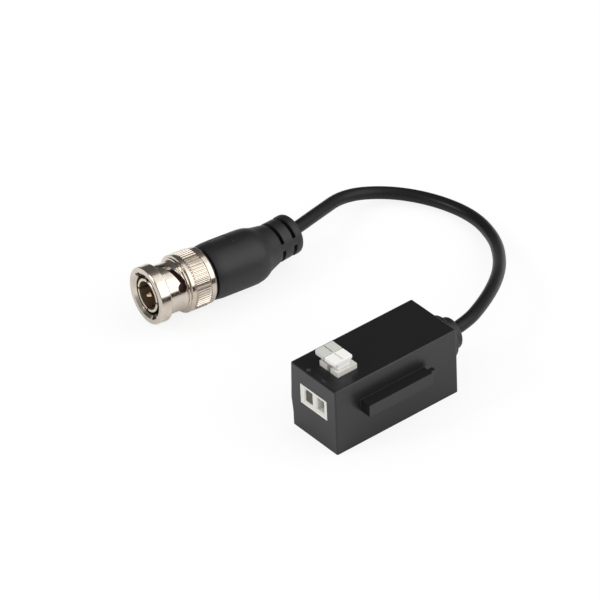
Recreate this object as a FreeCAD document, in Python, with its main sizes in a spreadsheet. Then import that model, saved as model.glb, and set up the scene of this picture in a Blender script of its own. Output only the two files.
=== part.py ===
"""CCTV video balun: a small black box with a push-lever wire terminal, a short coaxial cord and a bayonet plug.

Frame: millimetres, +Z up, origin on the floor under the middle of the box. The terminal face looks
along -Y, the cord leaves the box along +Y and the side rail stands out along +X. The plug lies on
the floor on its coupling nut, beside the box.
"""
import FreeCAD
import Part

import math
import os
import re

import Sketcher

doc = FreeCAD.newDocument("VideoBalun")
V = FreeCAD.Vector

# Driving dimensions in millimetres and degrees.
SIZES = {
    # Box
    "box_width": 16.0,
    "box_length": 35.9,
    "box_height": 17.8,
    "wall_thick": 1.3,
    "side_swell": 0.5,
    "swell_level": 7.6,
    "swell_start": 3.5,
    "mark_place": 1.05,
    "mark_pitch": 5.4,
    "mark_size": 1.3,
    "mark_line": 0.3,
    "mark_depth": 0.12,
    "box_edge": 0.4,
    "seam_gap": 0.06,
    "cover_thick": 1.3,
    "post_radius": 1.1,
    # Rail on the side of the box
    "rail_start": 7.25,
    "rail_length": 18.7,
    "rail_top": 5.6,
    "rail_height": 3.15,
    "rail_reach": 3.2,
    "nub_length": 1.4,
    "nub_height": 1.2,
    "nub_inset": 0.6,
    "nub_width": 1.3,
    # Board
    "board_level": 3.8,
    "board_thick": 1.2,
    "board_inset": 0.2,
    "board_length": 30.0,
    # Wire terminal
    "terminal_centre": 0.2,
    "pole_pitch": 4.2,
    "face_left": 5.05,
    "face_right": 4.55,
    "face_bottom": 7.85,
    "face_top": 13.4,
    "terminal_half": 5.6,
    "terminal_back": 10.3,
    "entry_width": 2.4,
    "entry_bottom": 9.2,
    "entry_height": 3.3,
    "entry_flare": 0.35,
    "chamber_width": 3.3,
    "chamber_front": 3.1,
    "chamber_back": 9.4,
    "chamber_top": 14.9,
    "tab_centre": 0.68,
    "tab_pitch": 3.85,
    "tab_width": 2.7,
    "tab_front": 4.15,
    "tab_back": 9.85,
    "tab_height": 1.26,
    "window_gap": 0.1,
    # Push levers
    "lever_centre": -0.04,
    "lever_pitch": 3.7,
    "plate_width": 3.5,
    "plate_front": 3.5,
    "plate_back": 8.95,
    "plate_rise": 2.9,
    "plate_thick": 1.0,
    "plate_corner": 0.6,
    "groove_width": 0.4,
    "groove_depth": 0.35,
    "stem_centre": 0.53,
    "stem_pitch": 3.72,
    "stem_width": 1.55,
    "stem_front": 4.9,
    "stem_back": 8.4,
    "stem_gap": 0.1,
    "stem_end": 14.2,
    # Clamp spring and contact strip
    "strip_thick": 0.3,
    "strip_width": 2.6,
    "spring_back": 9.2,
    "spring_low": 6.0,
    "contact_level": 9.15,
    "contact_thick": 0.45,
    "pin_width": 0.9,
    "pin_place": 6.1,
    "pin_below": 1.1,
    # Cord outlet
    "outlet_level": 10.0,
    "neck_radius": 3.4,
    "collar_radius": 5.5,
    "collar_thick": 2.9,
    "sleeve_radius": 4.0,
    "sleeve_end": 5.4,
    "inner_collar_radius": 4.6,
    "inner_collar_thick": 1.2,
    # Cord
    "cord_radius": 1.6,
    "cord_gap": 0.05,
    "lead_radius": 0.35,
    # Choke and small parts on the board
    "choke_place": 0.5,
    "choke_inner": 1.8,
    "choke_height": 3.2,
    "choke_lift": 0.5,
    "turn_wire": 0.4,
    "turn_gap": 0.2,
    "turn_count": 12,
    "chip_length": 3.2,
    "chip_width": 1.6,
    "chip_height": 1.0,
    "chip_inset": 0.5,
    "arrester_radius": 1.5,
    "arrester_length": 4.4,
    # Plug: place of its rim, turn about the vertical, rise of its rim, bend of its boot
    "plug_x": -60.565,
    "plug_y": -19.72,
    "plug_z": 8.15,
    "plug_turn": 4.557,
    "plug_tilt": 2.317,
    "tail_turn": 7.16,
    "tail_lift": 2.3,
    # Coupling nut, as radii and stations from its front rim
    "nut_radius": 7.2,
    "rim_radius": 7.15,
    "rim_length": 2.95,
    "rim_edge": 0.35,
    "mouth_radius": 5.15,
    "nut_bore": 4.95,
    "neck_outer": 6.1,
    "bead_start": 7.4,
    "bead_end": 9.7,
    "knurl_root": 6.92,
    "knurl_end": 14.0,
    "knurl_count": 56,
    "knurl_phase": 1.9,
    "knurl_width": 0.5,
    "nut_length": 15.8,
    "nut_rear": 6.75,
    "web_front": 8.9,
    "web_thick": 1.0,
    "running_gap": 0.05,
    "rear_bore": 6.0,
    # Bayonet slots of the nut
    "slot_width": 1.25,
    "detent_angle": 27.0,
    "detent_place": 6.95,
    "detent_radius": 1.15,
    "spot_radius": 1.4,
    "spot_depth": 0.16,
    "keyway_angle": 128.0,
    "keyway_width": 2.3,
    "keyway_depth": 0.9,
    # Inner parts of the plug
    "contact_front": 0.45,
    "contact_outer": 4.25,
    "contact_inner": 3.55,
    "finger_slit": 0.5,
    "finger_length": 5.5,
    "spigot_radius": 3.9,
    "spigot_end": 10.5,
    "contact_shoulder": 8.3,
    "land_radius": 4.45,
    "land_front": 8.85,
    "flange_front": 10.8,
    "flange_thick": 1.2,
    "flange_radius": 5.9,
    "collar_outer": 4.8,
    "sleeve_outer": 2.9,
    "insulator_radius": 3.3,
    "insulator_front": 8.0,
    "insulator_end": 15.4,
    "pin_radius": 0.68,
    "pin_tip": 0.45,
    "pin_hole": 0.9,
    "press_gap": 0.03,
    "gasket_front": 5.8,
    "ferrule_flat": 2.2,
    "ferrule_end": 23.5,
    # Boot, as stations along the plug and, past its bend, along its tail
    "boot_front": 16.4,
    "boot_front_radius": 6.75,
    "boot_radius": 7.0,
    "bend_place": 28.3,
    "cable_end": 18.0,
    "cone_length": 7.4,
    "cone_radius": 5.05,
    "relief_slot": 0.9,
    "relief_ring": 2.7,
    "relief_core": 3.9,
    "web_angle": 15.0,
    "web_span": 22.0,
    "tail_length": 14.2,
    "tail_radius": 5.1,
    "bend_bore": 1.95,
    "panel_length": 8.6,
    "panel_width": 6.4,
    "panel_depth": 0.25,
    "panel_angle": 52.0,
}

# Route of the cord: through the outlet, along the floor behind the box and up into the plug.
CORD_ROUTE = [
    (0.0, 15.7, 10.0),
    (0.0, 28.2, 10.0),
    (-10.0, 45.8, 8.6),
    (-17.7, 53.3, 5.6),
    (-28.3, 61.1, 2.8),
    (-38.6, 65.0, 1.7),
    (-52.7, 62.5, 1.7),
    (-63.0, 54.8, 2.3),
    (-66.0, 42.7, 5.0),
    (-59.144, 26.648, 7.006),
    (-58.318, 8.467, 7.006),
    (-59.136, -1.792, 7.422),
]

# Centre line of one bayonet slot on the neck of the nut: angle and distance from the rim.
SLOT_ROUTE = [(108.0, 4.2), (90.0, 5.5), (67.0, 6.4), (50.0, 6.95), (38.0, 7.3)]

sheet = doc.addObject("Spreadsheet::Sheet", "Sizes")
for row, (alias, value) in enumerate(SIZES.items(), start=1):
    sheet.set(f"A{row}", alias)
    sheet.set(f"B{row}", str(value))
    sheet.setAlias(f"B{row}", alias)
doc.recompute()

PARTS = {}


def size(alias):
    """Value of one cell of the sheet."""
    return float(getattr(sheet, alias))


def cells(words):
    """Expression in which every alias is written as a cell of the sheet."""
    return re.sub(r"[a-z]+(?:_[a-z]+)+", lambda match: "Sizes." + match.group(0), words)


def bind(item, prop, words):
    """Tie one property of an object to the sheet."""
    item.setExpression(prop, cells(words))


def keep(label, item):
    """Register the object that gives one sub-part."""
    item.Label = label
    PARTS[label] = item
    return item


def new_body(label):
    """Start a body for one sub-part."""
    return keep(label, doc.addObject("PartDesign::Body", "Body_" + label))


def plane_of(body, role):
    """Origin plane or axis of a body."""
    return next(item for item in body.Origin.OriginFeatures if item.Role == role)


def new_sketch(body, plane="XY_Plane", level="0"):
    """Sketch on an origin plane of the body, moved along the plane's normal."""
    sketch = body.newObject("Sketcher::SketchObject", "Sketch")
    sketch.AttachmentSupport = (plane_of(body, plane), [""])
    sketch.MapMode = "FlatFace"
    bind(sketch, "AttachmentOffset.Base.z", level)
    return sketch


def pin_point(sketch, geometry, point, across, along):
    """Hold a point of the sketch at a place given by two expressions."""
    for kind, words in (("DistanceX", across), ("DistanceY", along)):
        number = sketch.addConstraint(Sketcher.Constraint(kind, -1, 1, geometry, point, 1.0))
        bind(sketch, f"Constraints[{number}]", words)


def outline(sketch, points):
    """Closed outline through points given as pairs of expressions."""
    count = len(points)
    corners = [V(10 * math.cos(2 * math.pi * i / count), 10 * math.sin(2 * math.pi * i / count), 0)
               for i in range(count)]
    first = sketch.GeometryCount
    for i in range(count):
        sketch.addGeometry(Part.LineSegment(corners[i], corners[(i + 1) % count]), False)
    for i in range(count):
        follower = first + (i + 1) % count
        sketch.addConstraint(Sketcher.Constraint("Coincident", first + i, 2, follower, 1))
    for i, (across, along) in enumerate(points):
        pin_point(sketch, first + i, 1, across, along)


def rectangle(sketch, left, right, low, high):
    """Closed rectangle from four expressions."""
    outline(sketch, [(left, low), (right, low), (right, high), (left, high)])


def ring(sketch, across, along, radius):
    """Circle with its centre and radius given by expressions."""
    number = sketch.addGeometry(Part.Circle(V(0, 0, 0), V(0, 0, 1), 1.0), False)
    pin_point(sketch, number, 3, across, along)
    held = sketch.addConstraint(Sketcher.Constraint("Radius", number, 1.0))
    bind(sketch, f"Constraints[{held}]", radius)


def pad(body, sketch, length, middle=False, back=False):
    """Add material along the sketch's normal."""
    feature = body.newObject("PartDesign::Pad", "Pad")
    feature.Profile = sketch
    bind(feature, "Length", length)
    feature.Midplane = middle
    feature.Reversed = back
    return feature


def pocket(body, sketch, length, middle=False, back=False):
    """Cut material against the sketch's normal, or along it when back is set."""
    feature = body.newObject("PartDesign::Pocket", "Pocket")
    feature.Profile = sketch
    bind(feature, "Length", length)
    feature.Midplane = middle
    feature.Reversed = back
    return feature


def revolve(body, sketch, axis="V_Axis"):
    """Full turn of the sketch about one of its own axes."""
    feature = body.newObject("PartDesign::Revolution", "Revolution")
    feature.Profile = sketch
    feature.ReferenceAxis = (sketch, [axis])
    feature.Angle = 360.0
    return feature


def groove(body, sketch, axis="V_Axis"):
    """Full turned cut of the sketch about one of its own axes."""
    feature = body.newObject("PartDesign::Groove", "Groove")
    feature.Profile = sketch
    feature.ReferenceAxis = (sketch, [axis])
    feature.Angle = 360.0
    return feature


def turned(body, points, plane="XY_Plane"):
    """Piece of revolution from radius and station pairs."""
    sketch = new_sketch(body, plane)
    outline(sketch, points)
    return revolve(body, sketch)


def polar(body, feature, axis_role, count, angle="360"):
    """Repeat a feature round an origin axis of the body."""
    pattern = body.newObject("PartDesign::PolarPattern", "PolarPattern")
    pattern.Originals = [feature]
    pattern.Axis = (plane_of(body, axis_role), [""])
    bind(pattern, "Angle", angle)
    bind(pattern, "Occurrences", count)
    body.Tip = pattern
    return pattern


def edges_where(shape, test):
    """Names of the edges whose two ends both pass a test."""
    return [f"Edge{i}" for i, edge in enumerate(shape.Edges, start=1)
            if all(test(vertex.Point) for vertex in edge.Vertexes) and len(edge.Vertexes) == 2]


def soften(body, feature, names, radius):
    """Round the named edges of a feature."""
    fillet = body.newObject("PartDesign::Fillet", "Fillet")
    fillet.Base = (feature, names)
    bind(fillet, "Radius", radius)
    return fillet


def aim(sketch, words):
    """Turn and move a sketch away from its origin plane by one placement."""
    sketch.setExpression("AttachmentOffset.Base.z", None)
    bind(sketch, "AttachmentOffset", words)


def place_on_plug(item):
    """Put a piece that was drawn about +Y on the axis of the plug."""
    bind(item, "Placement",
         "placement(vector(plug_x; plug_y; plug_z); rotation(-plug_turn; 0; -plug_tilt))")


# The front and back faces of the box, as expressions.
FRONT = "(-box_length / 2)"
BACK = "(box_length / 2)"


def from_front(alias):
    """Place along Y of something measured back from the terminal face."""
    return f"({alias} - box_length / 2)"


def pole(side):
    """Place along X of the left (-1) or right (+1) pole of the terminal."""
    return f"(terminal_centre + {side} * pole_pitch / 2)"


def plate_middle(side):
    """Place along X of the left (-1) or right (+1) push lever."""
    return f"(lever_centre + {side} * lever_pitch / 2)"


def stem_middle(side):
    """Place along X of the stem of the left (-1) or right (+1) push lever."""
    return f"(stem_centre + {side} * stem_pitch / 2)"


def make_housing():
    """Moulded box, open below, with its windows, cord notch and side rail."""
    body = new_body("housing")
    front = new_sketch(body, "XZ_Plane", BACK + " * -1")
    outline(front, [
        ("-box_width / 2", "0"),
        ("box_width / 2", "0"),
        ("box_width / 2", "box_height"),
        ("-box_width / 2", "box_height"),
        ("-box_width / 2 - side_swell", "swell_level"),
        ("-box_width / 2", "swell_start"),
    ])
    block = pad(body, front, "box_length")
    doc.recompute()
    names = edges_where(block.Shape, lambda p: p.z > size("box_height") - 0.1)
    for end in (-1, 1):
        names += edges_where(block.Shape, lambda p: abs(p.y - end * size("box_length") / 2) < 0.01)
    names = [name for name in names if block.Shape.getElement(name).BoundBox.ZMax > 0.01]
    rounded = soften(body, block, sorted(set(names)), "box_edge")
    body.Tip = rounded

    rail = new_sketch(body, "YZ_Plane", "box_width / 2 - wall_thick / 2")
    rectangle(rail, from_front("rail_start"), from_front("(rail_start + rail_length)"),
              "box_height - rail_top - rail_height", "box_height - rail_top")
    pad(body, rail, "rail_reach + wall_thick / 2")
    nub = new_sketch(body, "YZ_Plane", "box_width / 2 + rail_reach - nub_inset - nub_width")
    rectangle(nub, from_front("(rail_start + rail_length / 2)"),
              from_front("(rail_start + rail_length + nub_length)"),
              "box_height - rail_top - nub_height", "box_height - rail_top")
    pad(body, nub, "nub_width")

    inside = new_sketch(body)
    rectangle(inside, "wall_thick - box_width / 2", "box_width / 2 - wall_thick",
              "wall_thick - box_length / 2", "box_length / 2 - wall_thick")
    pocket(body, inside, "box_height - wall_thick", back=True)

    face = new_sketch(body, "XZ_Plane", "box_length / 2 - wall_thick - 0.5")
    rectangle(face, "terminal_centre - face_left", "terminal_centre + face_right",
              "face_bottom", "face_top")
    pocket(body, face, "wall_thick + 1", back=True)

    window = new_sketch(body, "XY_Plane", "box_height - wall_thick - 0.5")
    rectangle(window, "tab_centre - tab_pitch / 2 - tab_width / 2 - window_gap",
              "tab_centre + tab_pitch / 2 + tab_width / 2 + window_gap",
              from_front("(tab_front - window_gap)"), from_front("(tab_back + window_gap)"))
    pocket(body, window, "wall_thick + 1", back=True)

    notch = new_sketch(body, "XZ_Plane", "wall_thick + 0.5 - box_length / 2")
    rectangle(notch, "-neck_radius - seam_gap", "neck_radius + seam_gap", "-1", "outlet_level")
    pocket(body, notch, "wall_thick + 1")
    notch_top = new_sketch(body, "XZ_Plane", "wall_thick + 0.5 - box_length / 2")
    ring(notch_top, "0", "outlet_level", "neck_radius + seam_gap")
    pocket(body, notch_top, "wall_thick + 1")

    marks = new_sketch(body, level="box_height")
    long = "mark_size / 2"
    thin = "mark_line / 2"
    plus_x = "(-mark_pitch / 2)"
    line_y = from_front("mark_place")
    outline(marks, [(f"{plus_x} + {across}", f"{line_y} + {along}") for across, along in (
        ("-" + long, "-" + thin), ("-" + thin, "-" + thin), ("-" + thin, "-" + long),
        (thin, "-" + long), (thin, "-" + thin), (long, "-" + thin),
        (long, thin), (thin, thin), (thin, long),
        ("-" + thin, long), ("-" + thin, thin), ("-" + long, thin))])
    rectangle(marks, f"mark_pitch / 2 - {long}", f"mark_pitch / 2 + {long}",
              f"{line_y} - {thin}", f"{line_y} + {thin}")
    body.Tip = pocket(body, marks, "mark_depth")


def make_base_cover():
    """Plate that closes the box from below, with board posts and a tongue under the cord outlet."""
    body = new_body("base_cover")
    plate = new_sketch(body)
    rectangle(plate, "wall_thick + seam_gap - box_width / 2", "box_width / 2 - wall_thick - seam_gap",
              "wall_thick + seam_gap - box_length / 2", "box_length / 2 - wall_thick - seam_gap")
    pad(body, plate, "cover_thick")
    posts = new_sketch(body, level="cover_thick / 2")
    inset = "(wall_thick + board_inset + 1.8)"
    for side in ("", "-"):
        ring(posts, f"{side}(box_width / 2 - {inset})", f"{inset} - box_length / 2", "post_radius")
        ring(posts, f"{side}(box_width / 2 - {inset})",
             f"{inset} - box_length / 2 + board_length - 3.6", "post_radius")
    pad(body, posts, "board_level - cover_thick / 2")
    link = new_sketch(body)
    rectangle(link, "-neck_radius", "neck_radius",
              "box_length / 2 - wall_thick - 0.5", "box_length / 2")
    pad(body, link, "cover_thick")
    tongue = new_sketch(body, "XZ_Plane", "-box_length / 2")
    rectangle(tongue, "-neck_radius", "neck_radius", "0", "outlet_level")
    pad(body, tongue, "wall_thick")
    hollow = new_sketch(body, "XZ_Plane", "-box_length / 2 - 1")
    ring(hollow, "0", "outlet_level", "neck_radius + seam_gap")
    body.Tip = pocket(body, hollow, "wall_thick + 4", back=True)


def make_circuit_board():
    """Glass-fibre board with slots for the two contact pins."""
    body = new_body("circuit_board")
    board = new_sketch(body, level="board_level")
    rectangle(board, "wall_thick + board_inset - box_width / 2", "box_width / 2 - wall_thick - board_inset",
              "wall_thick + board_inset - box_length / 2",
              "wall_thick + board_inset - box_length / 2 + board_length")
    for side in (-1, 1):
        rectangle(board, pole(side) + " - pin_width / 2 - 0.1", pole(side) + " + pin_width / 2 + 0.1",
                  from_front("pin_place") + " - 0.1",
                  from_front("pin_place") + " + contact_thick + 0.1")
    pad(body, board, "board_thick")


BOARD_TOP = "(board_level + board_thick)"
CHIP_MIDDLE = "(box_width / 2 - wall_thick - board_inset - chip_inset - chip_width / 2)"
CHOKE_OUTER = f"({CHIP_MIDDLE} - chip_width / 2 - turn_gap - turn_wire)"


def make_terminal_body():
    """Nylon block with two wire entries, two clamp chambers and the guides of the levers."""
    body = new_body("terminal_body")
    block = new_sketch(body, level=BOARD_TOP)
    rectangle(block, "terminal_centre - terminal_half", "terminal_centre + terminal_half",
              "wall_thick + seam_gap - box_length / 2", from_front("terminal_back"))
    pad(body, block, f"box_height - wall_thick - seam_gap - {BOARD_TOP}")
    face = new_sketch(body, "XZ_Plane", "box_length / 2 - wall_thick - 0.5")
    rectangle(face, "terminal_centre - face_left + window_gap / 2",
              "terminal_centre + face_right - window_gap / 2",
              "face_bottom + window_gap", "face_top - window_gap / 2")
    pad(body, face, "wall_thick + 0.5")
    tabs = new_sketch(body, level="box_height - wall_thick - 0.5")
    for side in (-1, 1):
        middle = f"(tab_centre + {side} * tab_pitch / 2)"
        rectangle(tabs, middle + " - tab_width / 2", middle + " + tab_width / 2",
                  from_front("tab_front"), from_front("tab_back"))
    pad(body, tabs, "wall_thick + 0.5 + tab_height")

    chambers = new_sketch(body, level=BOARD_TOP)
    for side in (-1, 1):
        rectangle(chambers, pole(side) + " - chamber_width / 2", pole(side) + " + chamber_width / 2",
                  from_front("chamber_front"), from_front("chamber_back"))
    pocket(body, chambers, f"chamber_top - {BOARD_TOP}", back=True)
    guides = new_sketch(body, level="chamber_top - 0.5")
    for side in (-1, 1):
        rectangle(guides, stem_middle(side) + " - stem_width / 2 - stem_gap",
                  stem_middle(side) + " + stem_width / 2 + stem_gap",
                  from_front("(stem_front - stem_gap)"), from_front("(stem_back + stem_gap)"))
    pocket(body, guides, "box_height", back=True)
    entries = new_sketch(body, "XZ_Plane", "box_length / 2 - chamber_front - 0.5")
    for side in (-1, 1):
        rectangle(entries, pole(side) + " - entry_width / 2", pole(side) + " + entry_width / 2",
                  "entry_bottom", "entry_bottom + entry_height")
    cut = pocket(body, entries, "chamber_front + 1", back=True)
    doc.recompute()
    mouth = size("box_length") / 2
    low = size("entry_bottom")
    high = low + size("entry_height")
    names = edges_where(cut.Shape, lambda p: abs(p.y + mouth) < 0.01 and low - 0.01 < p.z < high + 0.01)
    flare = body.newObject("PartDesign::Chamfer", "Chamfer")
    flare.Base = (cut, names)
    bind(flare, "Size", "entry_flare")
    body.Tip = flare


def make_push_lever(label, side):
    """Lever of one pole: a finger plate with a groove on a stem that runs down to the clamp spring."""
    body = new_body(label)
    plate = new_sketch(body, level="box_height + plate_rise")
    rectangle(plate, plate_middle(side) + " - plate_width / 2", plate_middle(side) + " + plate_width / 2",
              from_front("plate_front"), from_front("plate_back"))
    block = pad(body, plate, "plate_thick")
    doc.recompute()
    front = size("plate_front") - size("box_length") / 2
    outer = size("lever_centre") + side * (size("lever_pitch") + size("plate_width")) / 2
    names = edges_where(block.Shape, lambda p: abs(p.y - front) < 0.01 and abs(p.x - outer) < 0.01)
    soften(body, block, names, "plate_corner")
    stem = new_sketch(body, level="stem_end")
    rectangle(stem, stem_middle(side) + " - stem_width / 2", stem_middle(side) + " + stem_width / 2",
              from_front("stem_front"), from_front("stem_back"))
    pad(body, stem, "box_height + plate_rise - stem_end + plate_thick / 2")
    groove_sketch = new_sketch(body, level="box_height + plate_rise + plate_thick")
    middle = "((plate_front + plate_back - box_length) / 2)"
    rectangle(groove_sketch, plate_middle(side) + " - plate_width / 2 + 0.35",
              plate_middle(side) + " + plate_width / 2 - 0.15",
              f"{middle} - groove_width / 2", f"{middle} + groove_width / 2")
    body.Tip = pocket(body, groove_sketch, "groove_depth")


def make_clamp_spring(label, side):
    """Bent strip that stands on the contact, arches under the lever and presses the wire down."""
    body = new_body(label)
    strip = new_sketch(body, "YZ_Plane", pole(side))
    back = from_front("spring_back")
    top = "(stem_end - 0.08)"
    outline(strip, [
        (f"{back}", "contact_level"),
        (f"{back}", f"{top} - 1.0"),
        (f"{back} - 0.8", f"{top}"),
        (f"{back} - 2.6", f"{top}"),
        (f"{back} - 3.9", f"{top} - 1.2"),
        (f"{back} - 4.9", "contact_level + 0.05"),
        (f"{back} - 4.9 + strip_thick", "contact_level + 0.05"),
        (f"{back} - 3.9 + strip_thick", f"{top} - 1.2 - strip_thick"),
        (f"{back} - 2.6", f"{top} - strip_thick"),
        (f"{back} - 0.8 - strip_thick / 3", f"{top} - strip_thick"),
        (f"{back} - strip_thick", f"{top} - 1.0 - strip_thick / 2"),
        (f"{back} - strip_thick", "contact_level"),
    ])
    body.Tip = pad(body, strip, "strip_width", middle=True)


def make_contact_pin(label, side):
    """Tinned contact: a bar under the wire and a pin that is soldered through the board."""
    body = new_body(label)
    bar = new_sketch(body, "YZ_Plane", pole(side))
    rectangle(bar, from_front("(chamber_front + 0.15)"), from_front("(chamber_back - 0.1)"),
              "contact_level - contact_thick", "contact_level")
    pad(body, bar, "strip_width", middle=True)
    leg = new_sketch(body, "YZ_Plane", pole(side))
    rectangle(leg, from_front("pin_place"), from_front("pin_place") + " + contact_thick",
              "board_level - pin_below", "contact_level - contact_thick / 2")
    body.Tip = pad(body, leg, "pin_width", middle=True)


def make_choke():
    """Ferrite ring that fills the room between the chips, and its winding as separate turns."""
    core = new_body("choke_core")
    circle = new_sketch(core, level=f"{BOARD_TOP} + choke_lift")
    ring(circle, "0", "choke_place", CHOKE_OUTER)
    ring(circle, "0", "choke_place", "choke_inner")
    pad(core, circle, "choke_height")

    winding = new_body("choke_winding")
    turn = new_sketch(winding, "XZ_Plane")
    low = f"({BOARD_TOP} + choke_lift)"
    high = f"({BOARD_TOP} + choke_lift + choke_height)"
    rectangle(turn, "choke_inner - turn_wire", f"{CHOKE_OUTER} + turn_wire",
              f"{low} - turn_wire", f"{high} + turn_wire")
    rectangle(turn, "choke_inner", CHOKE_OUTER, low, high)
    one = pad(winding, turn, "turn_wire", middle=True)
    polar(winding, one, "Z_Axis", "turn_count", "360")
    bind(winding, "Placement.Base.y", "choke_place")


def make_small_parts():
    """Chip parts beside the choke and the surge arrester behind it."""
    chips = new_body("chip_parts")
    pads_sketch = new_sketch(chips, level=BOARD_TOP)
    for side in ("", "-"):
        rectangle(pads_sketch, f"{side}{CHIP_MIDDLE} - chip_width / 2", f"{side}{CHIP_MIDDLE} + chip_width / 2",
                  "choke_place - chip_length / 2", "choke_place + chip_length / 2")
    pad(chips, pads_sketch, "chip_height")

    arrester = new_body("surge_arrester")
    tube = new_sketch(arrester, "YZ_Plane")
    ring(tube, f"choke_place + {CHOKE_OUTER} + arrester_radius + 1.2",
         f"{BOARD_TOP} + arrester_radius", "arrester_radius")
    arrester.Tip = pad(arrester, tube, "arrester_length", middle=True)


def make_cable_grommet():
    """Moulded grommet: inner collar, neck in the wall, outer collar and sleeve round the cord."""
    body = new_body("cable_grommet")
    bore = "(cord_radius + cord_gap)"
    face = "(box_length / 2)"
    turned(body, [
        (bore, f"{face} - wall_thick - inner_collar_thick"),
        ("inner_collar_radius", f"{face} - wall_thick - inner_collar_thick"),
        ("inner_collar_radius", f"{face} - wall_thick"),
        ("neck_radius", f"{face} - wall_thick"),
        ("neck_radius", face),
        ("collar_radius", face),
        ("collar_radius", f"{face} + collar_thick - 0.6"),
        ("collar_radius - 0.6", f"{face} + collar_thick"),
        ("sleeve_radius", f"{face} + collar_thick"),
        ("sleeve_radius", f"{face} + sleeve_end - 0.8"),
        ("sleeve_radius - 0.3", f"{face} + sleeve_end - 0.25"),
        ("sleeve_radius - 0.9", f"{face} + sleeve_end"),
        (bore, f"{face} + sleeve_end"),
    ])
    bind(body, "Placement.Base.z", "outlet_level")


def cord_path(points):
    """Straight runs joined by tangent arcs, each as large as its two runs allow; prints the radii."""
    spots = [V(*point) for point in points]
    edges = []
    start = spots[0]
    radii = []
    for before, corner, after in zip(spots, spots[1:], spots[2:]):
        inward = (before - corner).normalize()
        outward = (after - corner).normalize()
        turn = math.pi - inward.getAngle(outward)
        reach = 0.45 * min(before.distanceToPoint(corner), corner.distanceToPoint(after))
        radius = reach / math.tan(turn / 2)
        radii.append(round(radius, 1))
        leave = corner + inward * reach
        join = corner + outward * reach
        middle = (inward + outward).normalize()
        apex = corner + middle * (radius / math.cos(turn / 2) - radius)
        edges.append(Part.LineSegment(start, leave).toShape())
        edges.append(Part.Arc(leave, apex, join).toShape())
        start = join
    edges.append(Part.LineSegment(start, spots[-1]).toShape())
    wire = Part.Wire(edges)
    print("cord radii", radii, "length", round(wire.Length, 1))
    return wire


def round_tube(wire, radius):
    """Solid round rod along a wire."""
    first = wire.Edges[0]
    heading = first.tangentAt(first.FirstParameter)
    start = first.valueAt(first.FirstParameter)
    section = Part.Wire([Part.Circle(start, heading, radius).toShape()])
    return wire.makePipeShell([section], True, False)


def make_cord():
    """Coaxial cord from inside the box to the crimp in the plug."""
    wire = cord_path(CORD_ROUTE)
    radius = size("cord_radius")
    cord = keep("cord", doc.addObject("Part::Feature", "Cord"))
    cord.Shape = round_tube(wire, radius)
    drift = cord.Shape.Volume / (math.pi * radius ** 2 * wire.Length) - 1
    if abs(drift) > 0.01:
        raise RuntimeError("The cord's volume is off by " + str(round(drift, 4)))


def make_leads():
    """Stripped core and twisted braid, bent from the cord's end down to the board."""
    radius = size("lead_radius")
    start_y = CORD_ROUTE[0][1]
    top = size("outlet_level")
    floor = size("board_level") + size("board_thick")
    for label, across, drop in (("core_lead", -0.8, 3.2), ("braid_lead", 0.8, 3.9)):
        wire = cord_path([
            (across, start_y, top),
            (across, start_y - drop, top),
            (across, start_y - drop, floor),
        ])
        lead = keep(label, doc.addObject("Part::Feature", "Lead"))
        lead.Shape = round_tube(wire, radius)


def make_coupling_nut():
    """Bayonet coupling nut: rim, waist, bead, straight knurl, two helical slots and their keyways."""
    body = new_body("coupling_nut_blank")
    turned(body, [
        ("mouth_radius", "0"),
        ("rim_radius - rim_edge", "0"),
        ("rim_radius", "rim_edge"),
        ("rim_radius", "rim_length - rim_edge"),
        ("rim_radius - rim_edge", "rim_length"),
        ("neck_outer", "rim_length + rim_edge"),
        ("neck_outer", "bead_start"),
        ("neck_outer + 0.1", "bead_start + 0.3"),
        ("neck_outer + 0.3", "bead_start + 0.55"),
        ("neck_outer + 0.6", "bead_start + 0.8"),
        ("nut_radius - 0.2", "bead_start + 1.05"),
        ("nut_radius - 0.05", "bead_start + 1.25"),
        ("nut_radius", "bead_start + 1.4"),
        ("nut_radius", "bead_end - 0.1"),
        ("nut_radius - 0.1", "bead_end"),
        ("knurl_root - 0.1", "bead_end"),
        ("knurl_root - 0.1", "bead_end + 0.2"),
        ("knurl_root", "bead_end + 0.25"),
        ("knurl_root", "knurl_end"),
        ("knurl_root - 0.1", "knurl_end + 0.05"),
        ("nut_radius - 0.15", "knurl_end + 0.1"),
        ("nut_radius - 0.15", "nut_length - 0.5"),
        ("nut_rear", "nut_length"),
        ("rear_bore", "nut_length"),
        ("rear_bore", "web_front + web_thick"),
        ("land_radius + running_gap", "web_front + web_thick"),
        ("land_radius + running_gap", "web_front"),
        ("nut_bore", "web_front"),
        ("nut_bore", "mouth_radius - nut_bore + 0.15"),
    ])
    rib = new_sketch(body)
    aim(rib, "placement(vector(0; 0; 0); rotation(0; knurl_phase; 0))")
    rectangle(rib, "knurl_root - 0.3", "nut_radius", "bead_end + 0.35", "knurl_end - 0.1")
    one = pad(body, rib, "knurl_width", middle=True)
    polar(body, one, "Y_Axis", "knurl_count")
    doc.recompute()
    del PARTS["coupling_nut_blank"]

    cutters = doc.addObject("Part::Feature", "BayonetCutters")
    cutters.Shape = bayonet_cutters()
    nut = keep("coupling_nut", doc.addObject("Part::Cut", "CouplingNut"))
    nut.Base = body
    nut.Tool = cutters
    place_on_plug(nut)


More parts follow.
